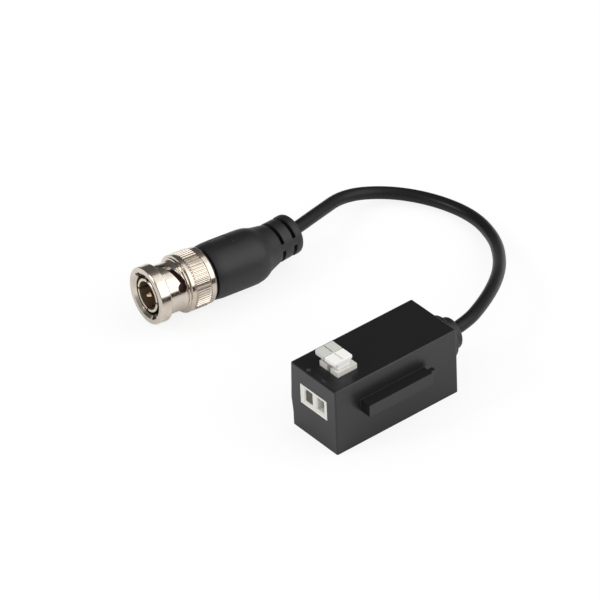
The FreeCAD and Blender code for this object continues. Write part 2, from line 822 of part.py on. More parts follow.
def slot_run(start, end, inner, outer):
    """Cutter that follows a left-handed helix between two places of a slot, laid along +Z."""
    turn = start[0] - end[0]
    rise = end[1] - start[1]
    middle = (inner + outer) / 2
    slope = math.atan2(rise, math.radians(turn) * size("neck_outer"))
    half = size("slot_width") / 2 / math.cos(slope)
    helix = Part.makeHelix(rise * 360.0 / turn, rise, middle, 0, True)
    section = Part.makePolygon([
        V(inner, 0, -half),
        V(outer, 0, -half),
        V(outer, 0, half),
        V(inner, 0, half),
        V(inner, 0, -half),
    ])
    run = Part.Wire(helix.Edges).makePipeShell([section], True, True)
    run.translate(V(0, 0, start[1]))
    run.rotate(V(0, 0, 0), V(0, 0, 1), start[0])
    return run


def radial_drill(place, radius, inner, outer):
    """Round cutter that points away from the axis at one place of a slot."""
    angle = math.radians(place[0])
    towards = V(math.cos(angle), math.sin(angle), 0)
    return Part.makeCylinder(radius, outer - inner, towards * inner + V(0, 0, place[1]), towards)


def bayonet_cutters():
    """Two curved slots with round detents, each with the straight keyway that leads into it."""
    inner = size("nut_bore") - 0.4
    outer = size("nut_radius") + 0.6
    half = size("slot_width") / 2
    first = SLOT_ROUTE[0]
    second = SLOT_ROUTE[1]
    key_outer = size("nut_bore") + size("keyway_depth")
    key_angle = size("keyway_angle")
    slope = (second[1] - first[1]) / (first[0] - second[0])
    key_end = (key_angle, first[1] - slope * (key_angle - first[0]))
    cutters = [slot_run(start, end, inner, outer) for start, end in zip(SLOT_ROUTE, SLOT_ROUTE[1:])]
    cutters += [radial_drill(place, half, inner, outer) for place in SLOT_ROUTE]
    cutters.append(slot_run(key_end, first, inner, key_outer))
    detent = (size("detent_angle"), size("detent_place"))
    cutters.append(radial_drill(detent, size("detent_radius"), inner, outer))
    face = size("neck_outer") - size("spot_depth")
    cutters.append(radial_drill(detent, size("spot_radius"), face, outer))
    key_width = size("keyway_width")
    keyway = Part.makeBox(key_outer - inner, key_width, key_end[1] + half + 1.0,
                          V(inner, -key_width / 2, -1.0))
    keyway.rotate(V(0, 0, 0), V(0, 0, 1), key_angle)
    cutters.append(keyway)
    slot = cutters[0].multiFuse(cutters[1:])
    twin = slot.copy()
    twin.rotate(V(0, 0, 0), V(0, 0, 1), 180)
    pair = Part.makeCompound([slot, twin])
    # Station along +Z becomes station along +Y, and angles run from +X towards +Z seen from the rim.
    return pair.mirror(V(0, 0, 0), V(0, 1, -1))


def make_plug_core():
    """Slotted outer contact, plug body, insulator, centre pin and the small rings of the plug."""
    contact = new_body("outer_contact")
    turned(contact, [
        ("contact_inner + 0.1", "contact_front"),
        ("contact_outer - 0.1", "contact_front"),
        ("contact_outer", "contact_front + 0.3"),
        ("contact_outer", "contact_shoulder"),
        ("spigot_radius", "contact_shoulder"),
        ("spigot_radius", "spigot_end"),
        ("insulator_radius", "spigot_end"),
        ("insulator_radius", "contact_shoulder + 0.3"),
        ("contact_inner", "contact_shoulder + 0.3"),
        ("contact_inner", "contact_front + 0.3"),
    ])
    slits = new_sketch(contact, "XZ_Plane", "-contact_front - finger_length")
    for angle_side in ("x", "z"):
        reach = "(contact_outer + 1)"
        if angle_side == "x":
            rectangle(slits, f"-{reach}", "-contact_inner / 2", "-finger_slit / 2", "finger_slit / 2")
            rectangle(slits, "contact_inner / 2", reach, "-finger_slit / 2", "finger_slit / 2")
        else:
            rectangle(slits, "-finger_slit / 2", "finger_slit / 2", f"-{reach}", "-contact_inner / 2")
            rectangle(slits, "-finger_slit / 2", "finger_slit / 2", "contact_inner / 2", reach)
    contact.Tip = pocket(contact, slits, "finger_length + 1", back=True)
    place_on_plug(contact)

    shell = new_body("plug_body")
    turned(shell, [
        ("spigot_radius + press_gap", "land_front"),
        ("land_radius", "land_front"),
        ("land_radius", "flange_front"),
        ("flange_radius", "flange_front"),
        ("flange_radius", "flange_front + flange_thick"),
        ("collar_outer", "flange_front + flange_thick"),
        ("collar_outer", "boot_front"),
        ("sleeve_outer", "boot_front"),
        ("sleeve_outer", "cable_end"),
        ("pin_hole", "cable_end"),
        ("pin_hole", "insulator_end"),
        ("insulator_radius", "insulator_end"),
        ("insulator_radius", "spigot_end"),
        ("spigot_radius + press_gap", "spigot_end"),
    ])
    place_on_plug(shell)

    insulator = new_body("insulator")
    turned(insulator, [
        ("pin_radius + press_gap", "insulator_front - 0.8"),
        ("pin_radius + 0.9", "insulator_front - 0.8"),
        ("pin_radius + 0.9", "insulator_front"),
        ("insulator_radius - press_gap", "insulator_front"),
        ("insulator_radius - press_gap", "insulator_end - press_gap"),
        ("pin_radius + press_gap", "insulator_end - press_gap"),
    ])
    place_on_plug(insulator)

    pin = new_body("centre_pin")
    turned(pin, [
        ("0", "pin_tip"),
        ("pin_radius * 0.45", "pin_tip"),
        ("pin_radius * 0.85", "pin_tip + 0.35"),
        ("pin_radius", "pin_tip + 0.9"),
        ("pin_radius", "cable_end"),
        ("0", "cable_end"),
    ])
    place_on_plug(pin)

    gasket = new_body("gasket")
    turned(gasket, [
        ("contact_outer + press_gap", "gasket_front"),
        ("nut_bore - 0.25", "gasket_front"),
        ("nut_bore - 0.08", "gasket_front + 0.2"),
        ("nut_bore - 0.08", "contact_shoulder - 0.03"),
        ("contact_outer + press_gap", "contact_shoulder - 0.03"),
    ])
    place_on_plug(gasket)

    clip = new_body("retaining_ring")
    turned(clip, [
        ("spigot_radius + press_gap", "contact_shoulder"),
        ("nut_bore - 0.1", "contact_shoulder"),
        ("nut_bore - 0.1", "land_front - 0.03"),
        ("spigot_radius + press_gap", "land_front - 0.03"),
    ])
    opening = new_sketch(clip, "XZ_Plane", "-land_front - 0.5")
    rectangle(opening, "-0.6", "0.6", "spigot_radius / 2", "nut_bore + 0.5")
    clip.Tip = pocket(clip, opening, "land_front - contact_shoulder + 1", back=True)
    place_on_plug(clip)

    washer = new_body("spring_washer")
    web_back = "(web_front + web_thick)"
    turned(washer, [
        ("land_radius + press_gap", f"{web_back} + 0.05"),
        ("rear_bore - 0.15", "flange_front - 0.35"),
        ("rear_bore - 0.15", "flange_front - 0.05"),
        ("land_radius + press_gap", f"{web_back} + 0.35"),
    ])
    place_on_plug(washer)

    ferrule = new_body("crimp_ferrule")
    flats = new_sketch(ferrule, "XZ_Plane", "-ferrule_end")
    corner = "(ferrule_flat / cos(30))"
    outline(flats, [(f"{corner} * cos({angle})", f"{corner} * sin({angle})")
                    for angle in range(0, 360, 60)])
    ring(flats, "0", "0", "cord_radius + cord_gap")
    ferrule.Tip = pad(ferrule, flats, "ferrule_end - cable_end")
    place_on_plug(ferrule)


def make_boot():
    """Soft boot over the plug's rear, with its tail bent towards the cord and slotted to flex."""
    body = new_body("boot")
    turned(body, [
        ("sleeve_outer + press_gap", "boot_front"),
        ("boot_front_radius - 0.3", "boot_front"),
        ("boot_front_radius", "boot_front + 0.3"),
        ("boot_radius", "boot_front + 2.4"),
        ("boot_radius", "bend_place"),
        ("bend_bore", "bend_place"),
        ("bend_bore", "ferrule_end + 0.1"),
        ("sleeve_outer + press_gap", "ferrule_end + 0.1"),
    ])
    heart = body.newObject("PartDesign::AdditiveSphere", "BendBall")
    heart.AttachmentSupport = (plane_of(body, "XY_Plane"), [""])
    heart.MapMode = "FlatFace"
    bind(heart, "AttachmentOffset.Base.y", "bend_place")
    bind(heart, "Radius", "boot_radius - 0.05")

    def tail_sketch(own_turn="rotation(0; 0; 0)"):
        """Sketch through the axis of the tail, first turned about that axis by its own turn."""
        sketch = new_sketch(body)
        aim(sketch, "placement(vector(0; bend_place; 0); "
                    f"rotation(tail_turn; 0; tail_lift) * {own_turn})")
        return sketch

    second = "(cone_length + relief_slot + relief_ring)"
    tail = tail_sketch()
    outline(tail, [
        ("0", "0"),
        ("boot_radius - 0.2", "0"),
        ("cone_radius", "cone_length"),
        ("cone_radius - 0.05", f"{second} + relief_slot"),
        ("tail_radius", f"{second} + relief_slot + 0.5"),
        ("tail_radius", "tail_length - 0.9"),
        ("tail_radius - 0.3", "tail_length - 0.25"),
        ("tail_radius - 0.9", "tail_length"),
        ("0", "tail_length"),
    ])
    revolve(body, tail)
    for start in ("cone_length", second):
        for side in ("90", "-90"):
            cut = tail_sketch(f"rotation(0; {side} - web_angle; 0)")
            rectangle(cut, "relief_core", "boot_radius + 1", start, f"{start} + relief_slot")
            part_turn = groove(body, cut)
            part_turn.Midplane = True
            bind(part_turn, "Angle", "180 - web_span")

    hollow = body.newObject("PartDesign::SubtractiveSphere", "BendHollow")
    hollow.AttachmentSupport = (plane_of(body, "XY_Plane"), [""])
    hollow.MapMode = "FlatFace"
    bind(hollow, "AttachmentOffset.Base.y", "bend_place")
    bind(hollow, "Radius", "bend_bore + 0.35")
    plug_way = new_sketch(body)
    outline(plug_way, [
        ("0", "boot_front - 1"),
        ("sleeve_outer + press_gap", "boot_front - 1"),
        ("sleeve_outer + press_gap", "ferrule_end + 0.1"),
        ("bend_bore", "ferrule_end + 0.1"),
        ("bend_bore", "bend_place"),
        ("0", "bend_place"),
    ])
    groove(body, plug_way)
    tail_way = tail_sketch()
    outline(tail_way, [
        ("0", "0.1"),
        ("bend_bore", "0.1"),
        ("bend_bore", "3"),
        ("cord_radius + cord_gap", "3.5"),
        ("cord_radius + cord_gap", "tail_length + 1"),
        ("0", "tail_length + 1"),
    ])
    groove(body, tail_way)

    panel = new_sketch(body)
    panel.AttachmentOffset = FreeCAD.Placement(V(0, 0, 0), FreeCAD.Rotation(V(0, 1, 0), 1.0))
    bind(panel, "AttachmentOffset.Rotation.Angle", "90 - panel_angle")
    bind(panel, "AttachmentOffset.Base.x", "(boot_radius - panel_depth) * cos(panel_angle)")
    bind(panel, "AttachmentOffset.Base.z", "(boot_radius - panel_depth) * sin(panel_angle)")
    rectangle(panel, "-panel_width / 2", "panel_width / 2",
              "bend_place - panel_length - 0.8", "bend_place - 0.8")
    body.Tip = pocket(body, panel, "panel_depth + 1", back=True)
    place_on_plug(body)


def check_and_export():
    """Refuse any failed object or bad shape, then write one file for each sub-part."""
    doc.recompute()
    for item in doc.Objects:
        if "Invalid" in item.State or "Error" in item.State:
            raise RuntimeError("Failed object: " + item.Name + " " + item.Label)
    os.makedirs("parts", exist_ok=True)
    for label, item in PARTS.items():
        shape = item.Shape
        if shape.isNull() or not shape.isValid() or not shape.Solids:
            raise RuntimeError("Bad shape: " + label)
        print(label, "solids", len(shape.Solids), "volume", round(shape.Volume, 2))
        shape.exportStep("parts/" + label + ".step")


make_housing()
make_base_cover()
make_circuit_board()
make_terminal_body()
for name_side, sign in (("left", -1), ("right", 1)):
    make_push_lever("push_lever_" + name_side, sign)
    make_clamp_spring("clamp_spring_" + name_side, sign)
    make_contact_pin("contact_pin_" + name_side, sign)
make_choke()
make_small_parts()
make_cable_grommet()
make_cord()
make_leads()
make_coupling_nut()
make_plug_core()
make_boot()
check_and_export()
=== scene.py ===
"""Looks of a CCTV video balun: black box with a push-lever terminal, coaxial cord and bayonet plug.

Lengths in the classes are millimetres in the frame of the CAD part, and every mesh is made in metres.
"""
from __future__ import annotations

import logging
import math
from collections.abc import Sequence
from dataclasses import dataclass, field
from enum import Enum

import bmesh
import bpy
from mathutils import Matrix, Vector

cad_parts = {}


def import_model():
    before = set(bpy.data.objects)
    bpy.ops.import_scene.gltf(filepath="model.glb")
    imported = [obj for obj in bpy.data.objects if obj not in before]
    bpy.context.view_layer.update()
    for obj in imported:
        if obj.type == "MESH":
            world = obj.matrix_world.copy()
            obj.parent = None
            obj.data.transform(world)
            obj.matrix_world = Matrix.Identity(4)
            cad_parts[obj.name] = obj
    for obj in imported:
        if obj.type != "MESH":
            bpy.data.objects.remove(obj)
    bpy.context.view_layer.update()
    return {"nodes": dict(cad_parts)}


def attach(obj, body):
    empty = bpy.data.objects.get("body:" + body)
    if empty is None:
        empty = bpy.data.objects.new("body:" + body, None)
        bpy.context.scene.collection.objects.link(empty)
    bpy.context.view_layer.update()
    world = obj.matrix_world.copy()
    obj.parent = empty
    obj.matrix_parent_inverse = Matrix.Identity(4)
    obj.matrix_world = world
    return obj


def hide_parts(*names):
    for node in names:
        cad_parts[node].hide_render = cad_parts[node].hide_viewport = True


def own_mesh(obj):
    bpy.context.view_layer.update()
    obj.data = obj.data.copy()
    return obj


MM = 0.001
LOG = logging.getLogger("balun")
Pair = tuple[float, float]
Triple = tuple[float, float, float]
# Values that a noise texture rarely leaves.
NOISE_SPAN: Pair = (0.3, 0.7)
# Share of a side that a rounding may take at each end.
ROUNDING_SHARE = 0.49
# Shorter than any real length, in millimetres or metres.
TINY = 1e-6


class Body(Enum):
    """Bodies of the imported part."""

    BALUN = "balun"
    NUT = "coupling_nut"
    LEVER_LEFT = "push_lever_left"
    LEVER_RIGHT = "push_lever_right"


def linear(code: str) -> tuple[float, float, float, float]:
    """Turns an sRGB hex colour to linear light.

    Args:
        code: Six hex digits after a hash.

    Returns:
        Red, green, blue and an alpha of one.
    """
    parts = [int(code[i:i + 2], 16) / 255 for i in (1, 3, 5)]
    red, green, blue = (p / 12.92 if p <= 0.04045 else ((p + 0.055) / 1.055) ** 2.4 for p in parts)
    return red, green, blue, 1.0


def add_node(tree: bpy.types.NodeTree, kind: str, settings: dict | None = None,
             links: dict | None = None) -> bpy.types.Node:
    """Adds one node with its settings and links.

    Args:
        tree: Node tree that takes the node.
        kind: Blender's name for the node type.
        settings: Attribute names, or input names or numbers, with their values.
        links: Input names or numbers, with the output socket that feeds each.

    Returns:
        The new node.
    """
    node = tree.nodes.new(kind)
    for key, value in (settings or {}).items():
        if isinstance(key, str) and hasattr(node, key):
            setattr(node, key, value)
        else:
            node.inputs[key].default_value = value
    for key, source in (links or {}).items():
        tree.links.new(source, node.inputs[key])
    return node


@dataclass(frozen=True)
class Finish:
    """A surface finish, which makes its material once."""

    name: str

    def paint(self, tree: bpy.types.NodeTree, shader: bpy.types.Node) -> None:
        """Adds the nodes of this finish to the tree."""
        raise NotImplementedError

    def material(self) -> bpy.types.Material:
        """Gives the material of this finish.

        Returns:
            The material, made on the first call.
        """
        known = bpy.data.materials.get(self.name)
        if known:
            return known
        made = bpy.data.materials.new(self.name)
        made.use_nodes = True
        tree = made.node_tree
        tree.nodes.clear()
        shader = add_node(tree, "ShaderNodeBsdfPrincipled")
        add_node(tree, "ShaderNodeOutputMaterial", links={"Surface": shader.outputs["BSDF"]})
        self.paint(tree, shader)
        return made


@dataclass(frozen=True)
class MouldedPlastic(Finish):
    """Injection-moulded thermoplastic: grain of the tool's surface, faint flow mottling, satin gloss."""

    colour: str
    mottle: str
    roughness: float
    spread: float = 0.08
    grain: float = 0.3
    grain_depth: float = 0.003
    mottle_size: float = 2.0
    ior: float = 1.5
    subsurface: float = 0.0
    specular: float = 0.5
    scatter: float = 0.6

    def paint(self, tree: bpy.types.NodeTree, shader: bpy.types.Node) -> None:
        """Adds mottling, uneven gloss and the grain of the mould.

        Args:
            tree: Node tree of the material.
            shader: Shader that takes the results.
        """
        place = add_node(tree, "ShaderNodeTexCoord").outputs["Object"]
        cloud = add_node(tree, "ShaderNodeTexNoise",
                         {"Scale": 1 / (self.mottle_size * MM), "Detail": 4.0, "Roughness": 0.55},
                         {"Vector": place})
        colour = add_node(tree, "ShaderNodeMix",
                          {"data_type": "RGBA", 6: linear(self.colour), 7: linear(self.mottle)},
                          {0: cloud.outputs["Fac"]})
        tree.links.new(colour.outputs[2], shader.inputs["Base Color"])
        # The real grain is about half this size, drawn coarser so that it shows.
        grain = add_node(tree, "ShaderNodeTexNoise",
                         {"Scale": 1 / (self.grain * MM), "Detail": 3.0, "Roughness": 0.6},
                         {"Vector": place})
        gloss = add_node(tree, "ShaderNodeMapRange",
                         {"From Min": NOISE_SPAN[0], "From Max": NOISE_SPAN[1],
                          "To Min": self.roughness - self.spread / 2,
                          "To Max": self.roughness + self.spread / 2},
                         {"Value": grain.outputs["Fac"]})
        tree.links.new(gloss.outputs["Result"], shader.inputs["Roughness"])
        relief = add_node(tree, "ShaderNodeBump", {"Strength": 0.6, "Distance": self.grain_depth * MM},
                          {"Height": grain.outputs["Fac"]})
        tree.links.new(relief.outputs["Normal"], shader.inputs["Normal"])
        shader.inputs["IOR"].default_value = self.ior
        shader.inputs["Specular IOR Level"].default_value = self.specular
        shader.inputs["Subsurface Weight"].default_value = self.subsurface
        shader.inputs["Subsurface Scale"].default_value = self.scatter * MM


@dataclass(frozen=True)
class TurnedMetal(Finish):
    """Plated metal turned on a lathe: fine rings of tool marks round the axis under a thin bright plate."""

    colour: str = "#d2c8bc"
    stain: str = "#bbae9f"
    roughness: float = 0.14
    spread: float = 0.08
    ring_pitch: float = 0.16
    ring_depth: float = 0.0016
    origin: Triple = (0.0, 0.0, 0.0)
    turn: Pair = (0.0, 0.0)
    stain_size: float = 2.2
    stain_span: Pair = (0.45, 0.8)
    stain_most: float = 0.6
    bore: float = 0.0
    bore_step: Pair = (0.02, 0.12)
    bore_painted_shade: str = "#a8937f"
    bore_roughness: float = 0.5

    def bore_share(self, tree: bpy.types.NodeTree, radius: bpy.types.NodeSocket) -> bpy.types.NodeSocket:
        """Makes the value that is one on the bore and zero outside it.

        Args:
            tree: Node tree of the material.
            radius: Socket with the distance from the axis.

        Returns:
            The socket that carries the value.
        """
        start, end = ((self.bore + step) * MM for step in self.bore_step)
        return add_node(tree, "ShaderNodeMapRange",
                        {"From Min": start, "From Max": end, "To Min": 1.0, "To Max": 0.0},
                        {"Value": radius}).outputs["Result"]

    def paint(self, tree: bpy.types.NodeTree, shader: bpy.types.Node) -> None:
        """Adds tool marks that depend only on the radius and the place along the axis.

        Args:
            tree: Node tree of the material.
            shader: Shader that takes the results.
        """
        place = add_node(tree, "ShaderNodeTexCoord").outputs["Object"]
        # The texture mapping undoes the place and the turn of the plug, so that Y is its axis.
        mapped = add_node(tree, "ShaderNodeMapping",
                          {"vector_type": "TEXTURE", "Location": [v * MM for v in self.origin],
                           "Rotation": (math.radians(self.turn[1]), 0.0, math.radians(self.turn[0]))},
                          {"Vector": place})
        axes = add_node(tree, "ShaderNodeSeparateXYZ", links={0: mapped.outputs[0]})
        across = add_node(tree, "ShaderNodeCombineXYZ",
                          links={0: axes.outputs["X"], 1: axes.outputs["Z"]})
        radius = add_node(tree, "ShaderNodeVectorMath", {"operation": "LENGTH"}, {0: across.outputs[0]})
        lathe = add_node(tree, "ShaderNodeCombineXYZ",
                         links={0: radius.outputs["Value"], 1: axes.outputs["Y"]})
        rings = add_node(tree, "ShaderNodeTexNoise",
                         {"noise_dimensions": "2D", "Scale": 1 / (self.ring_pitch * MM), "Detail": 2.0},
                         {"Vector": lathe.outputs[0]})
        cloud = add_node(tree, "ShaderNodeTexNoise", {"Scale": 1 / (self.stain_size * MM), "Detail": 5.0},
                         {"Vector": mapped.outputs[0]})
        colour = add_node(tree, "ShaderNodeMix",
                          {"data_type": "RGBA", 6: linear(self.colour), 7: linear(self.stain)})
        faint = add_node(tree, "ShaderNodeMapRange",
                         {"From Min": self.stain_span[0], "From Max": self.stain_span[1],
                          "To Max": self.stain_most},
                         {"Value": cloud.outputs["Fac"]})
        tree.links.new(faint.outputs["Result"], colour.inputs[0])
        gloss = add_node(tree, "ShaderNodeMapRange",
                         {"From Min": NOISE_SPAN[0], "From Max": NOISE_SPAN[1], "To Min": self.roughness,
                          "To Max": self.roughness + self.spread},
                         {"Value": cloud.outputs["Fac"]})
        shade, dullness = colour.outputs[2], gloss.outputs["Result"]
        # The bore gets a darker brownish colour as painted shade, and a duller gloss.
        if self.bore > 0:
            inside = self.bore_share(tree, radius.outputs["Value"])
            shade = add_node(tree, "ShaderNodeMix", {"data_type": "RGBA", 7: linear(self.bore_painted_shade)},
                             {0: inside, 6: shade}).outputs[2]
            dullness = add_node(tree, "ShaderNodeMix", {3: self.bore_roughness},
                                {0: inside, 2: dullness}).outputs[0]
        tree.links.new(shade, shader.inputs["Base Color"])
        tree.links.new(dullness, shader.inputs["Roughness"])
        relief = add_node(tree, "ShaderNodeBump", {"Strength": 0.5, "Distance": self.ring_depth * MM},
                          {"Height": rings.outputs["Fac"]})
        tree.links.new(relief.outputs["Normal"], shader.inputs["Normal"])
        shader.inputs["Metallic"].default_value = 1.0


# Place and turn (about Z, then about X, in degrees) of the plug, and the bend of the boot's tail on it.
PLUG_ORIGIN: Triple = (-60.565, -19.72, 8.15)
PLUG_TURN: Pair = (-4.557, -2.317)
TAIL_TURN: Pair = (7.16, 2.3)
TAIL_PLACE = 28.3

# Box: near-black satin with the fine grain of a spark-eroded mould.
HOUSING = MouldedPlastic("black_abs_moulded", "#121214", "#161618", roughness=0.33, spread=0.1,
                         grain=0.22, grain_depth=0.006, mottle_size=6.0)
# Marks: dull grey ink, hardly brighter than the box.
INLAY = MouldedPlastic("grey_ink_pad_printed", "#4c4c50", "#434347", roughness=0.5, spread=0.1,
                       grain_depth=0.002)
# Leaf in the left entry: painted shade, a dark olive, dull coat that stands for the shade deep in that
# entry, not for metal.
LEAF_PAINTED_SHADE = MouldedPlastic("spring_leaf_painted_shade", "#4a4a3c", "#3c3c31", roughness=0.5,
                             spread=0.1, grain=0.4, grain_depth=0.004, mottle_size=1.0)
# Terminal: warm off-white that lets a little light into its edges.
NYLON = MouldedPlastic("natural_nylon_moulded", "#dddcd5", "#d2d1c9", roughness=0.38, grain_depth=0.004,
                       mottle_size=4.0, ior=1.53, subsurface=0.12)
# Levers: smooth, slightly waxy gloss, both of one white plastic; the left one is painted pale grey as
# painted shade.
LEVER_PAINTED_SHADE = MouldedPlastic("white_acetal_painted_shade", "#c6c7c0", "#bebfb9", roughness=0.3, spread=0.06,
                            mottle_size=4.0, ior=1.48, subsurface=0.08)
LEVER_WHITE = MouldedPlastic("white_acetal_moulded", "#ebebe8", "#e4e4e0", roughness=0.3, spread=0.06,
                             mottle_size=4.0, ior=1.48, subsurface=0.1)
# Boot and grommet: soft black with a matte, slightly coarser grain.
BOOT_PVC = MouldedPlastic("soft_pvc_moulded", "#131316", "#18181b", roughness=0.47, grain=0.26,
                          grain_depth=0.012, mottle_size=3.0)
# Cord: smooth extruded black whose gloss is a narrow, weak line.
SHEATH_PVC = MouldedPlastic("cord_pvc_extruded", "#131315", "#18181a", roughness=0.38, grain=0.25,
                            grain_depth=0.006, mottle_size=2.5, specular=0.24)
# Gasket: red silicone, matte, deep in the nut; the red is its own, and its darkness is painted shade.
SILICONE = MouldedPlastic("red_silicone_painted_shade", "#3a100d", "#2c0b09", roughness=0.5, spread=0.1,
                          grain=0.2, grain_depth=0.004, mottle_size=1.5, ior=1.45)
# Insulator: milky white, dull as wax.
PTFE = MouldedPlastic("ptfe_turned", "#d8d6cc", "#cfccc0", roughness=0.5, grain=0.2, ior=1.38,
                      subsurface=0.1)
# Board: glossy green mask over the weave of the glass cloth.
BOARD = MouldedPlastic("glass_epoxy_green_mask", "#1f5a33", "#1a4c2b", roughness=0.3, spread=0.06,
                       grain=0.5, grain_depth=0.006, mottle_size=1.2, ior=1.55)
# Choke ring: dark grey with a dry, sintered skin.
FERRITE = MouldedPlastic("ferrite_sintered", "#2b2b2d", "#353536", roughness=0.55, spread=0.1,
                         grain=0.15, grain_depth=0.01, mottle_size=1.0, ior=1.9)
# Arrester and chips: fired bodies, one bone-coloured and one brown, with a faint gloss.
CERAMIC = MouldedPlastic("alumina_fired", "#b8b1a4", "#a9a294", roughness=0.4, grain=0.1,
                         mottle_size=0.8, ior=1.7)
CHIP = MouldedPlastic("chip_ceramic_fired", "#8a7452", "#7b6648", roughness=0.35, grain=0.1,
                      mottle_size=0.5, ior=1.6)
# Nut and plug body: warm bright nickel with fine lathe rings that break up its reflections.
NICKEL = TurnedMetal("brass_nickel_plated_turned", origin=PLUG_ORIGIN, turn=PLUG_TURN)
# Slotted contact: duller plate, and a bore painted brownish as painted shade, since little light gets in.
CONTACT = TurnedMetal("bronze_contact_dull_plate", "#d6cebd", "#b5aa94", roughness=0.22, spread=0.1,
                      ring_pitch=0.12, ring_depth=0.002, origin=PLUG_ORIGIN, turn=PLUG_TURN, bore=3.55)
# Pin: pale thin gold.
GOLD = TurnedMetal("brass_gold_flash", "#f4dcb8", "#e4bc90", roughness=0.18, ring_pitch=0.1,
                   ring_depth=0.001, origin=PLUG_ORIGIN, turn=PLUG_TURN)
# Springs, ring and washer: neutral grey rolled strip.
STEEL = TurnedMetal("spring_steel_rolled", "#b5b6b8", "#9fa0a2", roughness=0.25, spread=0.1,
                    ring_pitch=0.2, ring_depth=0.001, origin=PLUG_ORIGIN, turn=PLUG_TURN)
# Contact pins: soft silvery tin.
TIN = TurnedMetal("brass_tinned", "#c9c9c5", "#b4b4b0", roughness=0.3, spread=0.1, ring_pitch=0.3,
                  ring_depth=0.001)
# Winding and leads: copper under clear enamel, reddish and glossy.
ENAMEL_WIRE = TurnedMetal("copper_enamelled", "#b8683a", "#9c532c", roughness=0.25, ring_pitch=0.3,
                          ring_depth=0.001)


def new_piece(name: str, data: bpy.types.ID) -> bpy.types.Object:
    """Makes an object at the origin for a mesh, curve, lamp or camera.

    Args:
        name: Name of the object.
        data: What it shows.

    Returns:
        The object, in the scene.
    """
    piece = bpy.data.objects.new(name, data)
    bpy.context.scene.collection.objects.link(piece)
    return piece


def finished(shape: bmesh.types.BMesh, name: str) -> bpy.types.Mesh:
    """Turns an edit mesh into a plain one.

    Args:
        shape: Edit mesh, which is freed.
        name: Name of the plain mesh.

    Returns:
        The plain mesh.
    """
    mesh = bpy.data.meshes.new(name)
    shape.to_mesh(mesh)
    shape.free()
    return mesh


def dress(nodes: dict[str, bpy.types.Object], finishes: dict[str, Finish]) -> None:
    """Gives CAD nodes that keep their shape a better material.

    Args:
        nodes: CAD nodes by name.
        finishes: Finish of each node that is dressed.
    """
    for node, finish in finishes.items():
        nodes[node].data.materials.clear()
        nodes[node].data.materials.append(finish.material())
        LOG.info("%s is dressed as %s", node, finish.name)


def settle(piece: bpy.types.Object, body: Body, finish: Finish, slot: str, *nodes: str) -> bpy.types.Object:
    """Dresses a piece, makes it ride on its body and lets it stand for CAD nodes.

    Args:
        piece: The finished piece.
        body: Body that it moves with.
        finish: Finish of its surface.
        slot: Material slot of the record; not used.
        nodes: CAD nodes that it stands for.

    Returns:
        The same piece.
    """
    if piece.type == "MESH":
        piece.data.materials.clear()
    piece.data.materials.append(finish.material())
    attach(piece, body.value)
    if nodes:
        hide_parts(*nodes)
    LOG.info("%s rides on %s", piece.name, body.value)
    return piece


def bake(piece: bpy.types.Object) -> bpy.types.Object:
    """Applies every modifier of a piece by way of its evaluated mesh.

    Args:
        piece: Piece with modifiers.

    Returns:
        The same piece with a plain mesh.
    """
    graph = bpy.context.evaluated_depsgraph_get()
    mesh = bpy.data.meshes.new_from_object(piece.evaluated_get(graph))
    mesh.name = piece.name
    piece.modifiers.clear()
    piece.data = mesh
    return piece


def rounded(corners: Sequence[Triple], steps: int = 5) -> list[Pair]:
    """Rounds the corners of a closed outline.

    Args:
        corners: Radius, station and rounding of each corner.
        steps: Chords in each rounding.

    Returns:
        Radius and station of each point of the rounded outline.
    """
    points: list[Pair] = []
    count = len(corners)
    for i, (radius, station, bend) in enumerate(corners):
        here = Vector((radius, station))
        before = Vector(corners[i - 1][:2]) - here
        after = Vector(corners[(i + 1) % count][:2]) - here
        if bend <= 0:
            points.append((radius, station))
            continue
        half = before.angle(after) / 2
        reach = min(bend / math.tan(half), before.length * ROUNDING_SHARE, after.length * ROUNDING_SHARE)
        start = here + before.normalized() * reach
        end = here + after.normalized() * reach
        for step in range(steps + 1):
            t = step / steps
            spot = start * (1 - t) ** 2 + here * 2 * t * (1 - t) + end * t ** 2
            points.append((spot.x, spot.y))
    return points


def turned(outline: list[Pair], steps: int = 192) -> bpy.types.Mesh:
    """Turns a closed outline about the Y axis.

    Args:
        outline: Radius and station pairs, in millimetres.
        steps: Divisions of the full turn.

    Returns:
        A closed mesh in metres.
    """
    shape = bmesh.new()
    rings = []
    for radius, station in outline:
        if radius < TINY:
            rings.append([shape.verts.new((0.0, station * MM, 0.0))] * steps)
            continue
        rings.append([shape.verts.new((radius * MM * math.cos(a), station * MM, radius * MM * math.sin(a)))
                      for a in (2 * math.pi * k / steps for k in range(steps))])
    for i, ring in enumerate(rings):
        other = rings[(i + 1) % len(rings)]
        for k in range(steps):
            loop = [ring[k], ring[(k + 1) % steps], other[(k + 1) % steps], other[k]]
            corners = list(dict.fromkeys(loop))
            if len(corners) >= 3:
                shape.faces.new(corners)
    bmesh.ops.recalc_face_normals(shape, faces=shape.faces)
    return finished(shape, "turned")


def cut(piece: bpy.types.Object, cutters: list[bpy.types.Mesh], operation: str = "DIFFERENCE") -> None:
    """Takes meshes away from a piece, or joins them to it, one after another.

    Args:
        piece: Piece that changes.
        cutters: Closed meshes.
        operation: DIFFERENCE to take away, UNION to join.
    """
    for mesh in cutters:
        tool = new_piece("cutter", mesh)
        modifier = piece.modifiers.new("cut", "BOOLEAN")
        modifier.operation = operation
        modifier.solver = "EXACT"
        modifier.object = tool
        bake(piece)
        bpy.data.objects.remove(tool)


